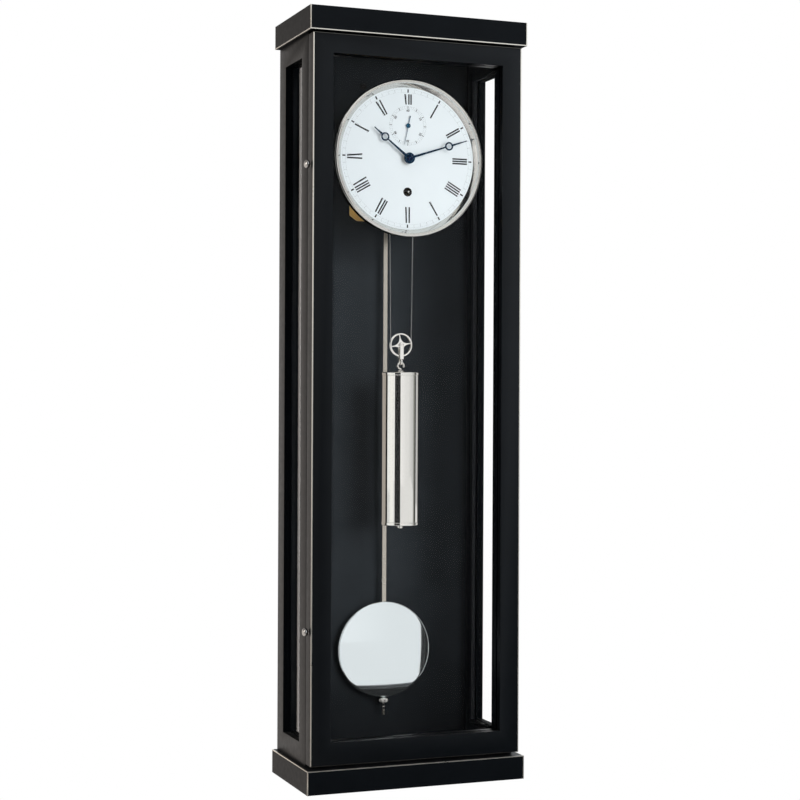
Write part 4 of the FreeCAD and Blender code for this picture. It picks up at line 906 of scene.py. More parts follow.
class REGULATOR_OT_glass(Operator):
    """Glazes the door and the side windows"""

    bl_idname = "regulator.glass"
    bl_label = "Glass"

    def execute(self, context):
        dress(("door_glass",), finish="coated_door_glass")
        for side, sign in SIDES:
            bm = bmesh.new()
            pane_block(bm, side_place(sign))
            fitted(f"{side}_pane", bm, PANE_FINISHES[side], "case", "clear_glass", "side_glass")
        return {"FINISHED"}


# Profiles of turned pieces are radius and distance along the axis.
KNOB_HEIGHTS = (195, 760)
KNOB_BACK = 15
KNOB_PROFILE = ((0, -0.02), (2.6, -0.02), (2.6, 0.3), (2.3, 0.7), (2.7, 1.0), (3.7, 1.6), (4.6, 2.4),
                (5.1, 3.5), (5.2, 4.5), (5.0, 5.6), (4.4, 6.6), (3.3, 7.4), (1.8, 7.85), (0, 8))
SCREW_ACROSS = 27
SCREW_CAP = ((0, -0.02), (4.2, -0.02), (4.2, 0.8), (3.4, 2.0), (0, 2.4))
CATCH_HEIGHTS = (170, 785)
CATCH_ACROSS = -129
CATCH_PROUD = 0.15
MAGNET_PROFILE = ((0, 0), (3.4, 0), (3.9, 0.3), (3.9, 6), (0, 6))
STRIKE_PROFILE = ((0, 0), (4.5, 0), (4.9, 0.3), (4.9, 1.1), (0, 1.1))


def catches(name, profile, face, way, body, node):
    """Fits the turned halves of the door's catches, a little proud of a face."""
    feet = [at(CATCH_ACROSS, face, height) - way * CATCH_PROUD * MM for height in CATCH_HEIGHTS]
    slot = slot_of(node)
    turned(name, [(profile, foot, way, 48, 0.15) for foot in feet], SLOT_FINISHES[slot], body, slot, node)


class REGULATOR_OT_fittings(Operator):
    """Turns the door's pull knobs, and finishes the hinges, catches and wall hanger"""

    bl_idname = "regulator.fittings"
    bl_label = "Knobs, hinges and hanger"

    def execute(self, context):
        feet = [at(-BODY_HALF, KNOB_BACK, height) for height in KNOB_HEIGHTS]
        knobs = [(KNOB_PROFILE, foot, LEFTWARD, 64, 0.5) for foot in feet]
        turned("pull_knobs", knobs, "grey_nickel_knob", "door", "polished_nickel", "door_knobs")
        edge = context.scene.clock_finishes.metal_edge
        dress(("case_hinge_leaves", "door_hinge_leaves", "wall_hanger"), edge)
        feet = [at(sign * SCREW_ACROSS, PANEL_FACE, HANG_HEIGHT) for side, sign in SIDES]
        caps = [(SCREW_CAP, foot, FORWARD, 48, 0.3) for foot in feet]
        turned("screw_caps", caps, "matt_black_plastic", "case", "black_plastic")
        catches("catch_magnets", MAGNET_PROFILE, SIDE_BOARD[0], BACKWARD, "case", "door_magnets")
        catches("catch_strikes", STRIKE_PROFILE, DOOR_FAR, FORWARD, "door", "door_strikes")
        return {"FINISHED"}


# Dial

PRINT_NEAR = DIAL_FRONT - 0.05
PRINT_FAR = DIAL_FRONT + 0.02
NUMERALS = ("XII", "I", "II", "III", "IIII", "V", "VI", "VII", "VIII", "IX", "X", "XI")
UPTURNED = (4, 5, 6, 7, 8)
# Strokes of each letter: place at its head and at its foot, and whether it is bold.
LETTERS = {
    "I": ((0, 0, True),),
    "V": ((0, 0.8, True), (1.7, 0.8, False)),
    "X": ((0, 2.3, True), (2.3, 0, False)),
}
LETTER_WIDTHS = {"I": 0, "V": 1.7, "X": 2.3}
LETTER_GAP = 2.9
TIGHT_GAP = 3.05
TIGHT_STROKE = 0.9
SERIF_HALF = 0.85
SERIF_HEIGHT = 0.28
XII_FOOT = 67.6
# Shares of the fine line and the bold stroke.
RING_SHARE = 0.35
MINUTE_TICKS = (0.46, 0.5)
SECOND_TICKS = (0.19, 0.25)
NUMBER_SWELL = 0.0001
NUMBER_DROP = 0.55
GROMMET_PROUD = 0.6
GROMMET_PROFILE = ((3.6, 2.6), (3.6, 0.3), (3.9, 0), (5.3, 0), (5.6, 0.3), (5.6, 2.6))


def numeral_strokes(word):
    """(head, foot, bold) of each stroke of a numeral, set about its middle."""
    strokes = []
    pen = 0
    gap = TIGHT_GAP if len(word) == 4 else LETTER_GAP
    for letter in word:
        strokes += [(pen + head, pen + foot, bold) for head, foot, bold in LETTERS[letter]]
        pen += LETTER_WIDTHS[letter] + gap
    middle = (pen - gap) / 2
    return [(head - middle, foot - middle, bold) for head, foot, bold in strokes]


def bar(bm, low, top, half, angle, centre=(0, 0)):
    """Adds a printed stroke between (across, out) points on a spoke at a clock angle."""
    corners = ((low, -half), (low, half), (top, half), (top, -half))
    outline = [(point[0] + shift, point[1]) for point, shift in corners]
    outline = [(x + centre[0], up + centre[1]) for x, up in turned_about(outline, angle)]
    prism(bm, outline, PRINT_NEAR, PRINT_FAR)


def printed_numeral(bm, hour, layout):
    """Adds a numeral. The one at twelve is cut short by the seconds dial."""
    inner = layout.numeral_inner / MM
    outer = layout.numeral_outer / MM
    angle = math.radians(30 * hour)
    foot_out = XII_FOOT if hour == 0 else inner
    tight = len(NUMERALS[hour]) == 4
    for head, foot, bold in numeral_strokes(NUMERALS[hour]):
        half = (layout.bold if bold else layout.hair) / MM / 2
        half *= TIGHT_STROKE if tight else 1
        if hour in UPTURNED:
            low, top = (-head, inner), (-foot, outer)
        else:
            share = (foot_out - inner) / (outer - inner)
            low, top = (foot + (head - foot) * share, foot_out), (head, outer)
        bar(bm, low, top, half, angle)
        if tight or not bold:
            continue
        if hour:
            bar(bm, low, (low[0], low[1] + SERIF_HEIGHT), SERIF_HALF, angle)
        bar(bm, (top[0], top[1] - SERIF_HEIGHT), top, SERIF_HALF, angle)


def printed_ring(bm, radius, width, centre, steps):
    """Adds a fine printed circle."""
    inner = circle(centre, radius - width / 2, steps)
    outer = circle(centre, radius + width / 2, steps)
    section = ((inner, PRINT_FAR), (inner, PRINT_NEAR), (outer, PRINT_NEAR), (outer, PRINT_FAR))
    skin(bm, [upright_ring(bm, outline, setback) for outline, setback in section], True)


def printed_number(bm, number, radius, height, angle, centre):
    """Adds a number whose foot is towards a ring's centre."""
    curve = bpy.data.curves.new("number", "FONT")
    curve.body = number
    curve.size = height
    curve.align_x = "CENTER"
    curve.align_y = "CENTER"
    curve.extrude = (PRINT_FAR - PRINT_NEAR) / 2 * MM
    curve.offset = NUMBER_SWELL
    x, up = spoke(centre, radius, angle)
    add_curve(bm, curve, at(x, (PRINT_NEAR + PRINT_FAR) / 2, DIAL_HEIGHT + up), angle)


def printed_track(bm, layout, inner, outer, ticks, centre, steps):
    """Adds two fine circles with sixty ticks between them, every fifth a bold one."""
    hair = layout.hair / MM
    bold_half = layout.bold / MM * ticks[0]
    fine_half = hair * ticks[1]
    for radius in (inner, outer):
        printed_ring(bm, radius, hair * RING_SHARE, centre, steps)
    for tick in range(60):
        half = fine_half if tick % 5 else bold_half
        bar(bm, (0, inner), (0, outer), half, math.radians(6 * tick), centre)


def printed_tracks(bm, layout):
    printed_track(bm, layout, layout.track_inner / MM, layout.track_outer / MM, MINUTE_TICKS, (0, 0),
                  steps=240)
    centre = (0, SECONDS_RISE)
    inner = layout.seconds_inner / MM
    printed_track(bm, layout, inner, layout.seconds_outer / MM, SECOND_TICKS, centre, steps=160)
    height = layout.number_height
    for second in range(10, 70, 10):
        radius = inner - height / MM * NUMBER_DROP
        printed_number(bm, str(second), radius, height, math.radians(6 * second), centre)


class REGULATOR_OT_dial(Operator):
    """Paints the dial, prints its numerals and tracks, and fits the winding grommet"""

    bl_idname = "regulator.dial"
    bl_label = "Dial"

    def execute(self, context):
        layout = context.scene.clock_dial
        dress(("dial",), finish="white_dial_paint")
        bm = bmesh.new()
        for hour in range(12):
            printed_numeral(bm, hour, layout)
        printed_tracks(bm, layout)
        print_piece = fitted("dial_print", bm, "dial_ink", "case", "black_plastic")
        print_piece.data.shade_flat()
        foot = at(0, DIAL_FRONT - GROMMET_PROUD, DIAL_HEIGHT - WINDING_DROP)
        turned("winding_bush", [(GROMMET_PROFILE, foot, BACKWARD, 72, 0.2, True)], "matt_black_plastic",
               "case", "black_plastic", "winding_grommet")
        return {"FINISHED"}


BEZEL_PROFILE = ((88.8, 8.0), (93.4, 2.95), (93.9, 0.4), (94.4, 0), (95.3, 0), (95.6, 0.35), (95.9, 0),
                 (96.7, 0), (97.7, 0.45), (98.3, 1.6), (98.2, 2.2), (96.8, 2.2), (95.4, 2.0), (94.9, 3.4),
                 (90.5, 8.15), (89.0, 8.15))
PAN_PROFILE = ((98.1, 2.1), (98.1, 10.6), (97.7, 11), (96.8, 11), (96.8, 2.1))


class REGULATOR_OT_bezel(Operator):
    """Turns the polished bezel round the dial, and the black pan behind it"""

    bl_idname = "regulator.bezel"
    bl_label = "Bezel"

    def execute(self, context):
        foot = at(0, BEZEL_FRONT, DIAL_HEIGHT)
        turned("dial_bezel", [(BEZEL_PROFILE, foot, BACKWARD, 360, 0.3, True)], "turned_nickel",
               "case", "polished_nickel", "bezel")
        turned("dial_pan", [(PAN_PROFILE, foot, BACKWARD, 256, 0.2, True)], "matt_black_rebate",
               "case", "black_plastic", "bezel")
        return {"FINISHED"}


# Hands

RING_RADIUS = 5.4
RING_BAND = 1.9
HAND_HUB = 6.9
HAND_GAUGE = 0.8
HAND_EDGE = 0.18
MINUTE_HAND = {"setback": 37.6, "angle": 71.8, "reach": 81.5, "ring": 55.8, "bore": 2.3}
HOUR_HAND = {"setback": 39.4, "angle": 308.2, "reach": 59.2, "ring": 40.8, "bore": 3.2}
HAND_HALVES = {"root": 1.5, "waist": 0.9, "neck": 1.15, "tip": 0.55}
TIP_LENGTH = 0.3
TIP_SHARE = 0.4
COLLET_PROFILE = ((0, 0), (1.5, 0.16), (2.7, 0.55), (3.6, 1.25), (4.0, 2.1), (4.1, 2.8), (0, 2.8))
COLLET_SEAT = 0.02
SECONDS_HAND = {"setback": 42.9, "angle": 192, "gauge": 0.5, "edge": 0.12, "hub_proud": 0.3}
SECONDS_OUTLINE = ((-0.5, -12.8), (0.5, -12.8), (0.4, 0), (0.2, 24), (-0.2, 24), (-0.4, 0))
SECONDS_HUB = ((0, -0.4), (1.0, -0.32), (2.55, -0.05), (2.9, 0.3), (2.9, 1), (0, 1))


def hand_outline(reach, ring):
    """The hand's rim: hub, shank, ring and point, with its tip up."""
    halves = HAND_HALVES
    hub_gap = math.asin(halves["root"] / HAND_HUB)
    low_gap = math.asin(halves["waist"] / RING_RADIUS)
    top_gap = math.asin(halves["neck"] / RING_RADIUS)
    side = circle((0, 0), HAND_HUB, 40, math.pi, hub_gap - math.pi)
    side += circle((0, ring), RING_RADIUS, 32, math.pi - low_gap, top_gap + low_gap - math.pi)
    side.append((halves["tip"], reach - TIP_LENGTH))
    side.append((halves["tip"] * TIP_SHARE, reach))
    return side + [(-x, up) for x, up in reversed(side[1:])]


def hand_piece(name, form, body, node):
    """Cuts a hand with its ring and bore open."""
    angle = math.radians(form["angle"])
    outlines = [hand_outline(form["reach"], form["ring"]),
                circle((0, form["ring"]), RING_RADIUS - RING_BAND, 48), circle((0, 0), form["bore"], 40)]
    bm = bmesh.new()
    sheet(bm, [turned_about(outline, angle) for outline in outlines], form["setback"], HAND_GAUGE, HAND_EDGE)
    fitted(name, bm, "heat_blued_steel", body, "blued_steel", node)


class REGULATOR_OT_hands(Operator):
    """Cuts the blued hands"""

    bl_idname = "regulator.hands"
    bl_label = "Hands"

    def execute(self, context):
        hand_piece("minute_pointer", MINUTE_HAND, "centre", "minute_hand")
        foot = at(0, MINUTE_HAND["setback"] - COLLET_PROFILE[-1][1] + COLLET_SEAT, DIAL_HEIGHT)
        turned("hand_collet", [(COLLET_PROFILE, foot, BACKWARD, 64)], "violet_blued_steel",
               "centre", "blued_steel")
        hand_piece("hour_pointer", HOUR_HAND, "hour", "hour_hand")
        form = SECONDS_HAND
        centre = (0, DIAL_HEIGHT + SECONDS_RISE)
        outline = turned_about(SECONDS_OUTLINE, math.radians(form["angle"]))
        bm = bmesh.new()
        sheet(bm, [outline], form["setback"], form["gauge"], form["edge"], centre)
        turn(bm, SECONDS_HUB, at(0, form["setback"] - form["hub_proud"], centre[1]), BACKWARD, 64, 0.12)
        fitted("seconds_pointer", bm, "pale_blued_steel", "escape", "blued_steel", "seconds_hand")
        return {"FINISHED"}


# Movement

MOVEMENT_NODES = (
    "front_plate", "back_plate", "plate_pillars", "movement_standoffs", "great_wheel", "intermediate_wheel",
    "centre_wheel", "third_wheel", "escape_wheel", "minute_wheel", "hour_wheel", "cannon_pinion",
    "winding_drum", "winding_arbor", "intermediate_arbor", "centre_arbor", "third_arbor", "escape_arbor",
    "anchor", "crutch", "pendulum_cock", "suspension_spring")
SQUARE_FRONT = 41.5
WINDING_PIP = ((0, -0.02), (1.2, -0.02), (1.1, 0.3), (0.8, 0.55), (0.4, 0.68), (0, 0.72))


class REGULATOR_OT_movement(Operator):
    """Finishes the plates, wheels, arbors and escapement"""

    bl_idname = "regulator.movement"
    bl_label = "Movement"

    def execute(self, context):
        dress(MOVEMENT_NODES, context.scene.clock_finishes.metal_edge)
        dress(("winding_arbor",), finish="burnished_steel")
        foot = at(0, SQUARE_FRONT, DIAL_HEIGHT - WINDING_DROP)
        turned("winding_pip", [(WINDING_PIP, foot, FORWARD, 32)], "polished_nickel", "drum", "steel")
        return {"FINISHED"}


# Pendulum

BOB_RADIUS = 61.9
BOB_EDGE = 5
BOB_DOME = 4.8
DOME_STEPS = 40
EDGE_STEPS = 14
FACE_RADIUS = 60.0
BOB_TWIST = math.radians(-3.2)
FERRULE_PROFILE = ((0, 90.6), (1.9, 90.6), (2.4, 91.0), (2.4, 96), (0, 96))
RATING_BOTTOM = 84.1
RATING_PROFILE = ((1.56, 0), (4.6, 0), (5.3, 0.5), (5.7, 1.1), (5.7, 5.2), (5.3, 5.9),
                  (4.4, 6.4), (1.56, 6.4))
KNURLS = 48
KNURL_DEPTH = 0.02
KNURL_RANGE = (1.3, 5.1)
THREAD_PITCH = 0.7
THREAD_RANGE = (75.5, 83.6)
THREAD_CORE = 1.45
THREAD_FOOT = 1.5
THREAD_RIDGE = ((1.52, 0.05), (1.72, 0.3), (1.72, 0.4), (1.52, 0.65))
STOP_PROFILE = ((1.45, 78.3), (1.75, 78.4), (2.0, 78.8), (2.0, 79.3), (1.75, 79.7), (1.45, 79.8))


def bob_profile():
    """Front dome, rim bead and back dome, from the front's middle."""
    dome = (BOB_RADIUS ** 2 + BOB_DOME ** 2) / (2 * BOB_DOME)
    front = BOB_EDGE / 2 + BOB_DOME
    face = []
    for k in range(DOME_STEPS):
        radius = FACE_RADIUS * k / (DOME_STEPS - 1)
        face.append((radius, -front + dome - math.sqrt(dome ** 2 - radius ** 2)))
    start = math.asin(FACE_RADIUS / dome)
    reach = (BOB_RADIUS - FACE_RADIUS) / (1 - math.sin(start))
    rise = -face[-1][1] / math.cos(start)
    edge = []
    for k in range(1, EDGE_STEPS + 1):
        angle = start + (math.pi / 2 - start) * k / EDGE_STEPS
        edge.append((BOB_RADIUS - reach * (1 - math.sin(angle)), -rise * math.cos(angle)))
    half = face + edge
    return half + [(radius, -along) for radius, along in reversed(half[:-1])]


def knurl(angle, along):
    """The rating nut's fine ribs, on its round side only."""
    inside = KNURL_RANGE[0] < along < KNURL_RANGE[1]
    return 1 + KNURL_DEPTH * math.cos(KNURLS * angle) if inside else 1


def thread_profile():
    """The rod's threaded tip, from its foot up."""
    low, top = THREAD_RANGE
    ridges = [(THREAD_CORE, low), (THREAD_FOOT, low)]
    for k in range(int((top - low) / THREAD_PITCH)):
        ridges += [(radius, low + k * THREAD_PITCH + rise) for radius, rise in THREAD_RIDGE]
    return ridges + [(THREAD_CORE, top)]


class REGULATOR_OT_pendulum(Operator):
    """Turns the bob and rating nut, cuts the thread and finishes the rod"""

    bl_idname = "regulator.pendulum"
    bl_label = "Pendulum"

    def execute(self, context):
        dress(("pendulum_rod",), context.scene.clock_finishes.rod_edge, "satin_nickel_rod")
        middle = at(0, PENDULUM_BACK, BOB_HEIGHT)
        foot = at(0, PENDULUM_BACK, 0)
        bm = bmesh.new()
        turn(bm, bob_profile(), middle, BACKWARD, 256)
        bmesh.ops.rotate(bm, verts=bm.verts, cent=middle, matrix=Matrix.Rotation(BOB_TWIST, 3, "Z"))
        turn(bm, FERRULE_PROFILE, foot, UPWARD, 64, 0.25)
        fitted("lens_bob", bm, "polished_bob", "pendulum", "polished_nickel", "pendulum_bob")
        nut_foot = at(0, PENDULUM_BACK, RATING_BOTTOM)
        turned("timing_nut", [(RATING_PROFILE, nut_foot, UPWARD, KNURLS * 6, 0.35, True, knurl)],
               "polished_nickel", "rating_nut", "polished_nickel", "rating_nut")
        turned("rating_thread", [(thread_profile(), foot, UPWARD, 32)], "burnished_steel",
               "pendulum", "steel")
        turned("rating_stop", [(STOP_PROFILE, foot, UPWARD, 48, 0.1)], "polished_nickel",
               "pendulum", "polished_nickel")
        return {"FINISHED"}


# Weight and pulley

WEIGHT_LOW = 317.6
WEIGHT_TOP = 510.8
CAP_HEIGHT = 4.2
SHELL_RADIUS = 23
SHELL_BORE = 21.6
SHELL_PLAY = 0.02
CAP_PROFILE = ((2.02, 0), (20.5, 0), (22.7, 0.25), (23.5, 1.0), (23.5, 3.6), (23.2, CAP_HEIGHT),
               (2.02, CAP_HEIGHT))
HOOK_HEIGHT = 518.8
HOOK_RADIUS = 4
HOOK_WIRE = 1.25
HOOK_ARC = (-20, 270)
HOOK_STEPS = 60
HOOK_SHANK = (514.5, 511.8)
COLLAR_PROFILE = ((0, 0), (3.2, 0), (4, 0.5), (4, 1.4), (2.6, 2.1), (1.9, 3), (0, 3))
NUT_PROFILE = ((0, 0), (1.6, 0), (2.9, 0.5), (3.6, 1.5), (3.6, 4.0), (3.1, 4.7), (0, 4.7))
SPINDLE_RADIUS = 2
PULLEY_HEIGHT = 545
PULLEY_HALF = 2.2
RIM_PROFILE = ((13.3, 0.3), (14.5, 0.3), (14.8, 0.55), (14.8, 0.95), (13.1, 1.45), (13.1, 2.95), (14.8, 3.45),
               (14.8, 3.85), (14.5, 4.1), (13.3, 4.1), (12.6, 3.2), (12.6, 1.2))
PULLEY_BORE = 1.56
HUB_PROFILE = ((PULLEY_BORE, 0), (3.2, 0), (3.6, 0.4), (3.6, 4.0), (3.2, 4.4), (PULLEY_BORE, 4.4))
PULLEY_ARMS = 4
SPOKE_LEAN = 3.2
SPOKE_REACH = 12.9
SPOKE_TURN = -10
SPOKE_STEPS = 16
SPOKE_GAUGE = 2.4
SPOKE_EDGE = 0.3
STRAP_HALF = 2.4
STRAP_GAUGE = 1.2
STRAP_EDGE = 0.2
STRAP_NEAR = 3.0
STRAP_BOTTOM = 527
STRAP_TOP = 548.4
FLOOR_INSET = 0.1
AXLE_PROFILE = ((0, -0.8), (1.3, -0.7), (1.7, -0.35), (1.7, 0), (1.5, 0), (1.5, 8.4), (1.7, 8.4), (1.7, 8.75),
                (1.3, 9.1), (0, 9.2))
EYE_RADIUS = 3.6
EYE_RISE = 0.4
EYE_STEPS = 48


def on_weight(height):
    return at(0, CABLE_BACK, height)


def hook_path():
    """An open loop that comes back to the weight's middle and goes down into it."""
    first, last = HOOK_ARC
    bend = [math.radians(first + (last - first) * k / HOOK_STEPS) for k in range(HOOK_STEPS + 1)]
    middle = on_weight(HOOK_HEIGHT)
    path = [middle + Vector((math.cos(a), 0, math.sin(a))) * HOOK_RADIUS * MM for a in bend]
    return path + [on_weight(height) for height in HOOK_SHANK]


class REGULATOR_OT_weight(Operator):
    """Turns the driving weight's shell and caps, and bends its hook"""

    bl_idname = "regulator.weight"
    bl_label = "Weight"

    def execute(self, context):
        dress(("weight_core",), finish="cast_iron")
        low = WEIGHT_LOW + CAP_HEIGHT + SHELL_PLAY
        top = WEIGHT_TOP - CAP_HEIGHT - SHELL_PLAY
        shell = ((SHELL_BORE, low), (SHELL_RADIUS, low), (SHELL_RADIUS, top), (SHELL_BORE, top))
        turned("weight_tube", [(shell, on_weight(0), UPWARD, 256, 0.15, True)], "polished_shell",
               "weight", "polished_nickel", "weight_shell")
        shaded_ends = ((on_weight(WEIGHT_LOW), UPWARD), (on_weight(WEIGHT_TOP), -UPWARD))
        turned("weight_ends", [(CAP_PROFILE, foot, way, 256, 0.4, True) for foot, way in shaded_ends],
               "polished_shell", "weight", "polished_nickel", "weight_caps")
        bm = bmesh.new()
        tube(bm, hook_path(), HOOK_WIRE * MM, sides=24)
        turn(bm, COLLAR_PROFILE, on_weight(WEIGHT_TOP), UPWARD, 64, 0.3)
        turn(bm, NUT_PROFILE, on_weight(WEIGHT_LOW - NUT_PROFILE[-1][1]), UPWARD, 64, 0.3)
        height = WEIGHT_TOP - WEIGHT_LOW
        spindle = ((0, 0), (SPINDLE_RADIUS, 0), (SPINDLE_RADIUS, height), (0, height))
        turn(bm, spindle, on_weight(WEIGHT_LOW), UPWARD, 32)
        fitted("hanging_hook", bm, "polished_nickel", "weight", "polished_nickel", "weight_hook")
        return {"FINISHED"}


def strap_outline():
    """A strap with a rounded head, across and up from the pulley's centre."""
    low = STRAP_BOTTOM - PULLEY_HEIGHT
    head = STRAP_TOP - PULLEY_HEIGHT - STRAP_HALF
    return [(-STRAP_HALF, low), (STRAP_HALF, low)] + circle((0, head), STRAP_HALF, 24, math.pi / 2, -math.pi)


def star_outline():
    """The pulley's spokes, that swell in hollow curves to the hub."""
    outline = []
    step = 2 * math.pi / PULLEY_ARMS
    for k in range(PULLEY_ARMS):
        angles = (step * k + math.radians(SPOKE_TURN + SPOKE_LEAN),
                  step * (k + 1) + math.radians(SPOKE_TURN - SPOKE_LEAN))
        first, last = [Vector(spoke((0, 0), SPOKE_REACH, angle)) for angle in angles]
        for i in range(SPOKE_STEPS + 1):
            t = i / SPOKE_STEPS
            outline.append(tuple(first * (1 - t) ** 2 + last * t ** 2))
    return outline


class REGULATOR_OT_pulley(Operator):
    """Turns the pulley and bends its stirrup"""

    bl_idname = "regulator.pulley"
    bl_label = "Pulley and stirrup"

    def execute(self, context):
        centre = (0, PULLEY_HEIGHT)
        front = at(0, CABLE_BACK - PULLEY_HALF, PULLEY_HEIGHT)
        bm = bmesh.new()
        turn(bm, RIM_PROFILE, front, BACKWARD, 128, 0.4, True)
        turn(bm, HUB_PROFILE, front, BACKWARD, 64, 0.2, True)
        star = [star_outline(), circle((0, 0), PULLEY_BORE, 32)]
        sheet(bm, star, CABLE_BACK - SPOKE_GAUGE / 2, SPOKE_GAUGE, SPOKE_EDGE, centre)
        fitted("cable_pulley", bm, "bright_nickel", "pulley", "polished_nickel", "pulley")
        bm = bmesh.new()
        reach = STRAP_NEAR + STRAP_GAUGE
        for setback in (CABLE_BACK - reach, CABLE_BACK + STRAP_NEAR):
            sheet(bm, [strap_outline()], setback, STRAP_GAUGE, STRAP_EDGE, centre)
        low = STRAP_BOTTOM - DIAL_HEIGHT
        top = low + STRAP_GAUGE
        floor = [(-STRAP_HALF, low), (STRAP_HALF, low), (STRAP_HALF, top), (-STRAP_HALF, top)]
        prism(bm, floor, CABLE_BACK - reach + FLOOR_INSET, CABLE_BACK + reach - FLOOR_INSET)
        turn(bm, AXLE_PROFILE, at(0, CABLE_BACK - reach, PULLEY_HEIGHT), BACKWARD, 48)
        middle = on_weight(STRAP_BOTTOM - EYE_RADIUS + EYE_RISE)
        angles = [2 * math.pi * k / EYE_STEPS for k in range(EYE_STEPS)]
        eye = [middle + Vector((0, math.cos(a), math.sin(a))) * EYE_RADIUS * MM for a in angles]
        tube(bm, eye, HOOK_WIRE * MM, sides=20, closed=True)
        fitted("pulley_strap", bm, "bright_nickel", "weight", "polished_nickel", "pulley_stirrup")
        return {"FINISHED"}


# Studio

MIDDLE = Vector((0, -0.07, -0.4))
NEAR_BLACK = (0.002, 0.002, 0.002, 1)
# The large dark flag, a painted reflection that shows only in polished metal: its place, width, height and
# reach.
FLAG_PLACE, FLAG_WIDTH, FLAG_HEIGHT, FLAG_REACH = Vector((-1.26, -1.63, -0.4)), 1.3, 2.6, 10.0
# Glowing cards in the case, painted reflections that show only in polished metal: place, the way that each
# faces, width, colour, and how far off it shows.
CARD_HEIGHT = 0.24
CASE_PAINTED_REFLECTIONS = {
    "taupe_card": (at(-62, PANEL_FACE - 2, 405), FORWARD, 0.104, (0.42, 0.38, 0.34, 1), 0.15),
    "black_card": (at(-115, 112, 405), -LEFTWARD, 0.034, NEAR_BLACK, 0.15),
    "white_card": (at(-110.5, 28.5, 405), -LEFTWARD, 0.051, (1.0, 1.0, 0.97, 1), 0.14),
    "grey_card": (at(110.5, 16, 405), LEFTWARD, 0.024, (0.28, 0.28, 0.26, 1), 0.16),
}
CARD_CLEARANCE = 0.06
# The mirrored world: the axis, the level at each end, and where the change starts and ends.
RIGHT_SHARE = (("X", 0.0, 1.0, -0.3, 0.2),)
LEFT_LEVEL = (("Z", 0.92, 0.35, 0.1, 0.3),)
RIGHT_LEVEL = (("Z", 0.0, 1.06, -0.15, 0.05), ("X", 0.7, 1.3, 0.15, 0.6))
CASE_LEVEL = (("X", 1.05, 0.84, -0.6, 0.3), ("X", 1.0, 0.66, 0.5, 0.98))
WHITE = (1, 1, 1, 1)
WARM_SIDE = (1.0, 0.91, 0.84, 1)
COOL_SIDE = (0.94, 0.99, 1.04, 1)
# More faces of glass than a ray meets on its way in through the door.
TWICE_GLAZED = 2.5


def studio_camera(look):
    """A camera at the photograph's viewing angle."""
    camera = bpy.data.objects.new("studio_camera", bpy.data.cameras.new("studio_camera"))
    camera.data.lens = look.lens
    camera.data.sensor_width = 36
    camera.data.clip_start = 0.05
    level = Vector((math.sin(look.yaw), math.cos(look.yaw), 0))
    ahead = level * math.cos(look.pitch) + UPWARD * math.sin(look.pitch)
    right = Vector((math.cos(look.yaw), -math.sin(look.yaw), 0))
    up = right.cross(ahead)
    across = right * math.cos(look.roll) + up * math.sin(look.roll)
    rise = up * math.cos(look.roll) - right * math.sin(look.roll)
    turn_to = Matrix((across, rise, -ahead)).transposed().to_4x4()
    camera.matrix_world = Matrix.Translation(Vector(look.camera_place)) @ turn_to
    bpy.context.scene.collection.objects.link(camera)
    bpy.context.scene.camera = camera


def facing(way):
    """The turn that points a lamp or a card along a way."""
    return way.to_track_quat("-Z", "Y").to_euler()


def soft_box(name, place, width, height, power, colour, mirrored=True):
    """A rectangular lamp that looks at the clock. The glass passes its light but doesn't show it."""
    lamp = bpy.data.lights.new(name, "AREA")
    lamp.shape = "RECTANGLE"
    lamp.size = width
    lamp.size_y = height
    lamp.energy = power
    lamp.color = colour
    holder = bpy.data.objects.new(name, lamp)
    holder.location = place
    holder.rotation_euler = facing(MIDDLE - Vector(place))
    holder.visible_transmission = False
    holder.visible_glossy = mirrored
    bpy.context.scene.collection.objects.link(holder)


def ray_kinds(tree):
    """Masks of the rays that show the background, that mirror it, and that mirror it from inside the case."""
    path = tree.nodes.new("ShaderNodeLightPath").outputs
    undimmed = maths(tree, "LESS_THAN", path["Diffuse Depth"], 0.5)
    plain = maths(tree, "MAXIMUM", path["Is Camera Ray"], path["Is Transmission Ray"])
    unbent = maths(tree, "SUBTRACT", 1.0, path["Is Transmission Ray"])
    mirror = maths(tree, "MULTIPLY", path["Is Glossy Ray"], unbent)
    bounced = maths(tree, "GREATER_THAN", path["Glossy Depth"], 0.5)
    masks = {"plain": (plain, undimmed), "mirror": (mirror, undimmed),
             "inside": (path["Is Transmission Ray"], bounced)}
    return {name: maths(tree, "MULTIPLY", *pair) for name, pair in masks.items()}


def levelled(tree, parts, changes):
    """The product of a direction's changes of level."""
    level, *others = [ranged(tree, parts[axis], *levels) for axis, *levels in changes]
    for other in others:
        level = maths(tree, "MULTIPLY", level, other)
    return level


def studio_world(ambient):
    """White to the eye, and in mirrors brightest at the clock's height, warm left and cool right."""
    world = bpy.data.worlds.new("white_studio")
    world.use_nodes = True
    tree = world.node_tree
    background = tree.nodes["Background"]
    rays = ray_kinds(tree)
    parts = parted(tree, tree.nodes.new("ShaderNodeTexCoord").outputs["Generated"])
    right = levelled(tree, parts, RIGHT_SHARE)
    case_level = levelled(tree, parts, CASE_LEVEL)
    tint = tinted(tree, right, WARM_SIDE, COOL_SIDE)
    shown = between(tree, rays["plain"], ambient, between(tree, rays["inside"], 1.0, case_level))
    mirrored = between(tree, right, levelled(tree, parts, LEFT_LEVEL), levelled(tree, parts, RIGHT_LEVEL))
    shade(tree, background, Color=tinted(tree, rays["mirror"], WHITE, tint),
          Strength=between(tree, rays["mirror"], shown, mirrored))
    bpy.context.scene.world = world


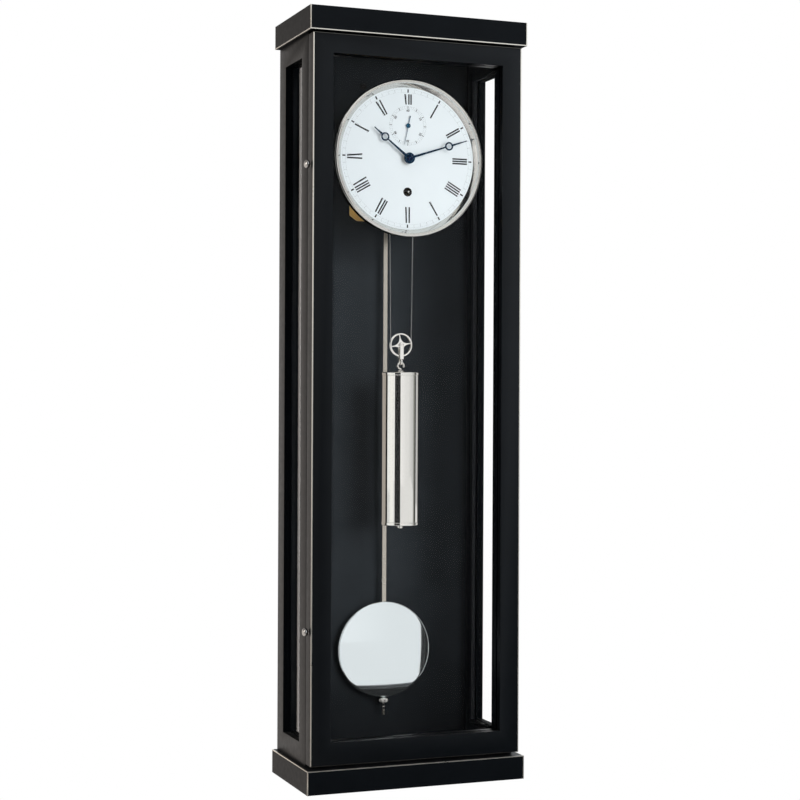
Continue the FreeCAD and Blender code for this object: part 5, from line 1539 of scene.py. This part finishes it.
def stage_sheet(name, cells, half, finish):
    """A flat square of the stage, and its finish's nodes."""
    bm = bmesh.new()
    bmesh.ops.create_grid(bm, x_segments=cells, y_segments=cells, size=half)
    mesh = bpy.data.meshes.new(name)
    bm.to_mesh(mesh)
    bm.free()
    piece = bpy.data.objects.new(name, mesh)
    bpy.context.scene.collection.objects.link(piece)
    material, tree, shader = blank_finish(finish)
    mesh.materials.append(material)
    return piece, tree, shader


def studio_floor(drop):
    """A pale floor that shows white and keeps the clock's shadow."""
    floor, tree, shader = stage_sheet("studio_floor", 12, 6.0, "pale_floor")
    floor.location.z = cad_box[0][2] - drop
    floor.visible_glossy = False
    patches = placed(tree, "mottle", Scale=3.0)
    shade(tree, shader, Base_Color=tinted(tree, patches, (0.80, 0.80, 0.80, 1), (0.82, 0.82, 0.82, 1)),
          Roughness=0.9)
    rays = ray_kinds(tree)
    shown = ranged(tree, rays["inside"], 1.0, 0.84, start=0.0, end=1.0)
    glow = joined(tree, "ShaderNodeEmission", {"Color": WHITE, "Strength": shown})
    away = vectors(tree, "LENGTH", surface_place(tree))
    fade = ranged(tree, away, 0.6, 1.0, start=0.2, end=1.3)
    mixed_surface(tree, maths(tree, "MULTIPLY", rays["plain"], fade), shader, glow)


def mirror_card(name, place, way, width, height, colour, reach):
    """A glowing card, a painted reflection that shows only in polished metal between its clearance and its
    reach.
    """
    card, tree, shader = stage_sheet(name, 1, 0.5, name)
    card.location = place
    card.scale = (width, height, 1)
    card.rotation_euler = facing(way)
    card.visible_camera = False
    card.visible_diffuse = False
    card.visible_shadow = False
    path = tree.nodes.new("ShaderNodeLightPath").outputs
    away = maths(tree, "GREATER_THAN", path["Ray Length"], CARD_CLEARANCE)
    outside = maths(tree, "GREATER_THAN", path["Transmission Depth"], TWICE_GLAZED)
    near = maths(tree, "LESS_THAN", path["Ray Length"], reach)
    mirrored = maths(tree, "GREATER_THAN", path["Glossy Depth"], 0.5)
    shown = maths(tree, "MULTIPLY", near, maths(tree, "MAXIMUM", away, outside))
    clear = tree.nodes.new("ShaderNodeBsdfTransparent")
    # Painted reflection: the card glows its colour, and only rays that a mirror has turned see it.
    glow = joined(tree, "ShaderNodeEmission", {"Color": colour, "Strength": 1.0})
    mixed_surface(tree, maths(tree, "MULTIPLY", mirrored, shown), clear, glow)


class REGULATOR_OT_stage(Operator):
    """Sets the camera, soft boxes, painted reflection cards, white world and pale floor"""

    bl_idname = "regulator.stage"
    bl_label = "Stage"

    def execute(self, context):
        look = context.scene.clock_studio
        context.scene.view_settings.view_transform = "Standard"
        studio_camera(look)
        studio_world(look.ambient)
        studio_floor(look.floor_drop)
        soft_box("key_box", (0.85, -2.3, 0.1), width=1.3, height=1.5, power=look.key_power,
                 colour=(0.96, 0.98, 1.0), mirrored=False)
        soft_box("side_box", (-2.0, -0.5, 0.3), width=1.0, height=1.4, power=look.side_power,
                 colour=(1.0, 0.93, 0.86))
        mirror_card("dark_flag", FLAG_PLACE, MIDDLE - FLAG_PLACE, FLAG_WIDTH, FLAG_HEIGHT,
                    NEAR_BLACK, FLAG_REACH)
        for name, (place, way, width, colour, reach) in CASE_PAINTED_REFLECTIONS.items():
            mirror_card(name, place, way, width, CARD_HEIGHT, colour, reach)
        soft_box("top_box", (-0.2, -0.9, 1.5), width=1.4, height=1.0, power=look.top_power,
                 colour=(1.0, 0.99, 0.97), mirrored=False)
        return {"FINISHED"}


# Add-on

STEPS = (REGULATOR_OT_stage, REGULATOR_OT_cable, REGULATOR_OT_case, REGULATOR_OT_trim, REGULATOR_OT_glass,
         REGULATOR_OT_fittings, REGULATOR_OT_dial, REGULATOR_OT_bezel, REGULATOR_OT_hands,
         REGULATOR_OT_movement, REGULATOR_OT_pendulum, REGULATOR_OT_weight, REGULATOR_OT_pulley)
GROUPS = {"clock_finishes": ClockFinishes, "clock_dial": DialLayout, "clock_studio": StudioSet}


class REGULATOR_PT_sidebar(Panel):
    """Lists the clock's steps in the 3D view's sidebar"""

    bl_label = "Regulator"
    bl_space_type = "VIEW_3D"
    bl_region_type = "UI"
    bl_category = "Regulator"

    def draw(self, context):
        for step in STEPS:
            self.layout.operator(step.bl_idname)


def register():
    for group in GROUPS.values():
        bpy.utils.register_class(group)
    for name, group in GROUPS.items():
        setattr(bpy.types.Scene, name, PointerProperty(type=group))
    for item in STEPS + (REGULATOR_PT_sidebar,):
        bpy.utils.register_class(item)


def unregister():
    for item in STEPS + (REGULATOR_PT_sidebar,):
        bpy.utils.unregister_class(item)
    for name, group in GROUPS.items():
        delattr(bpy.types.Scene, name)
        bpy.utils.unregister_class(group)


def main():
    register()
    for step in STEPS:
        group, name = step.bl_idname.split(".")
        getattr(getattr(bpy.ops, group), name)()


if __name__ == "__main__":
    main()
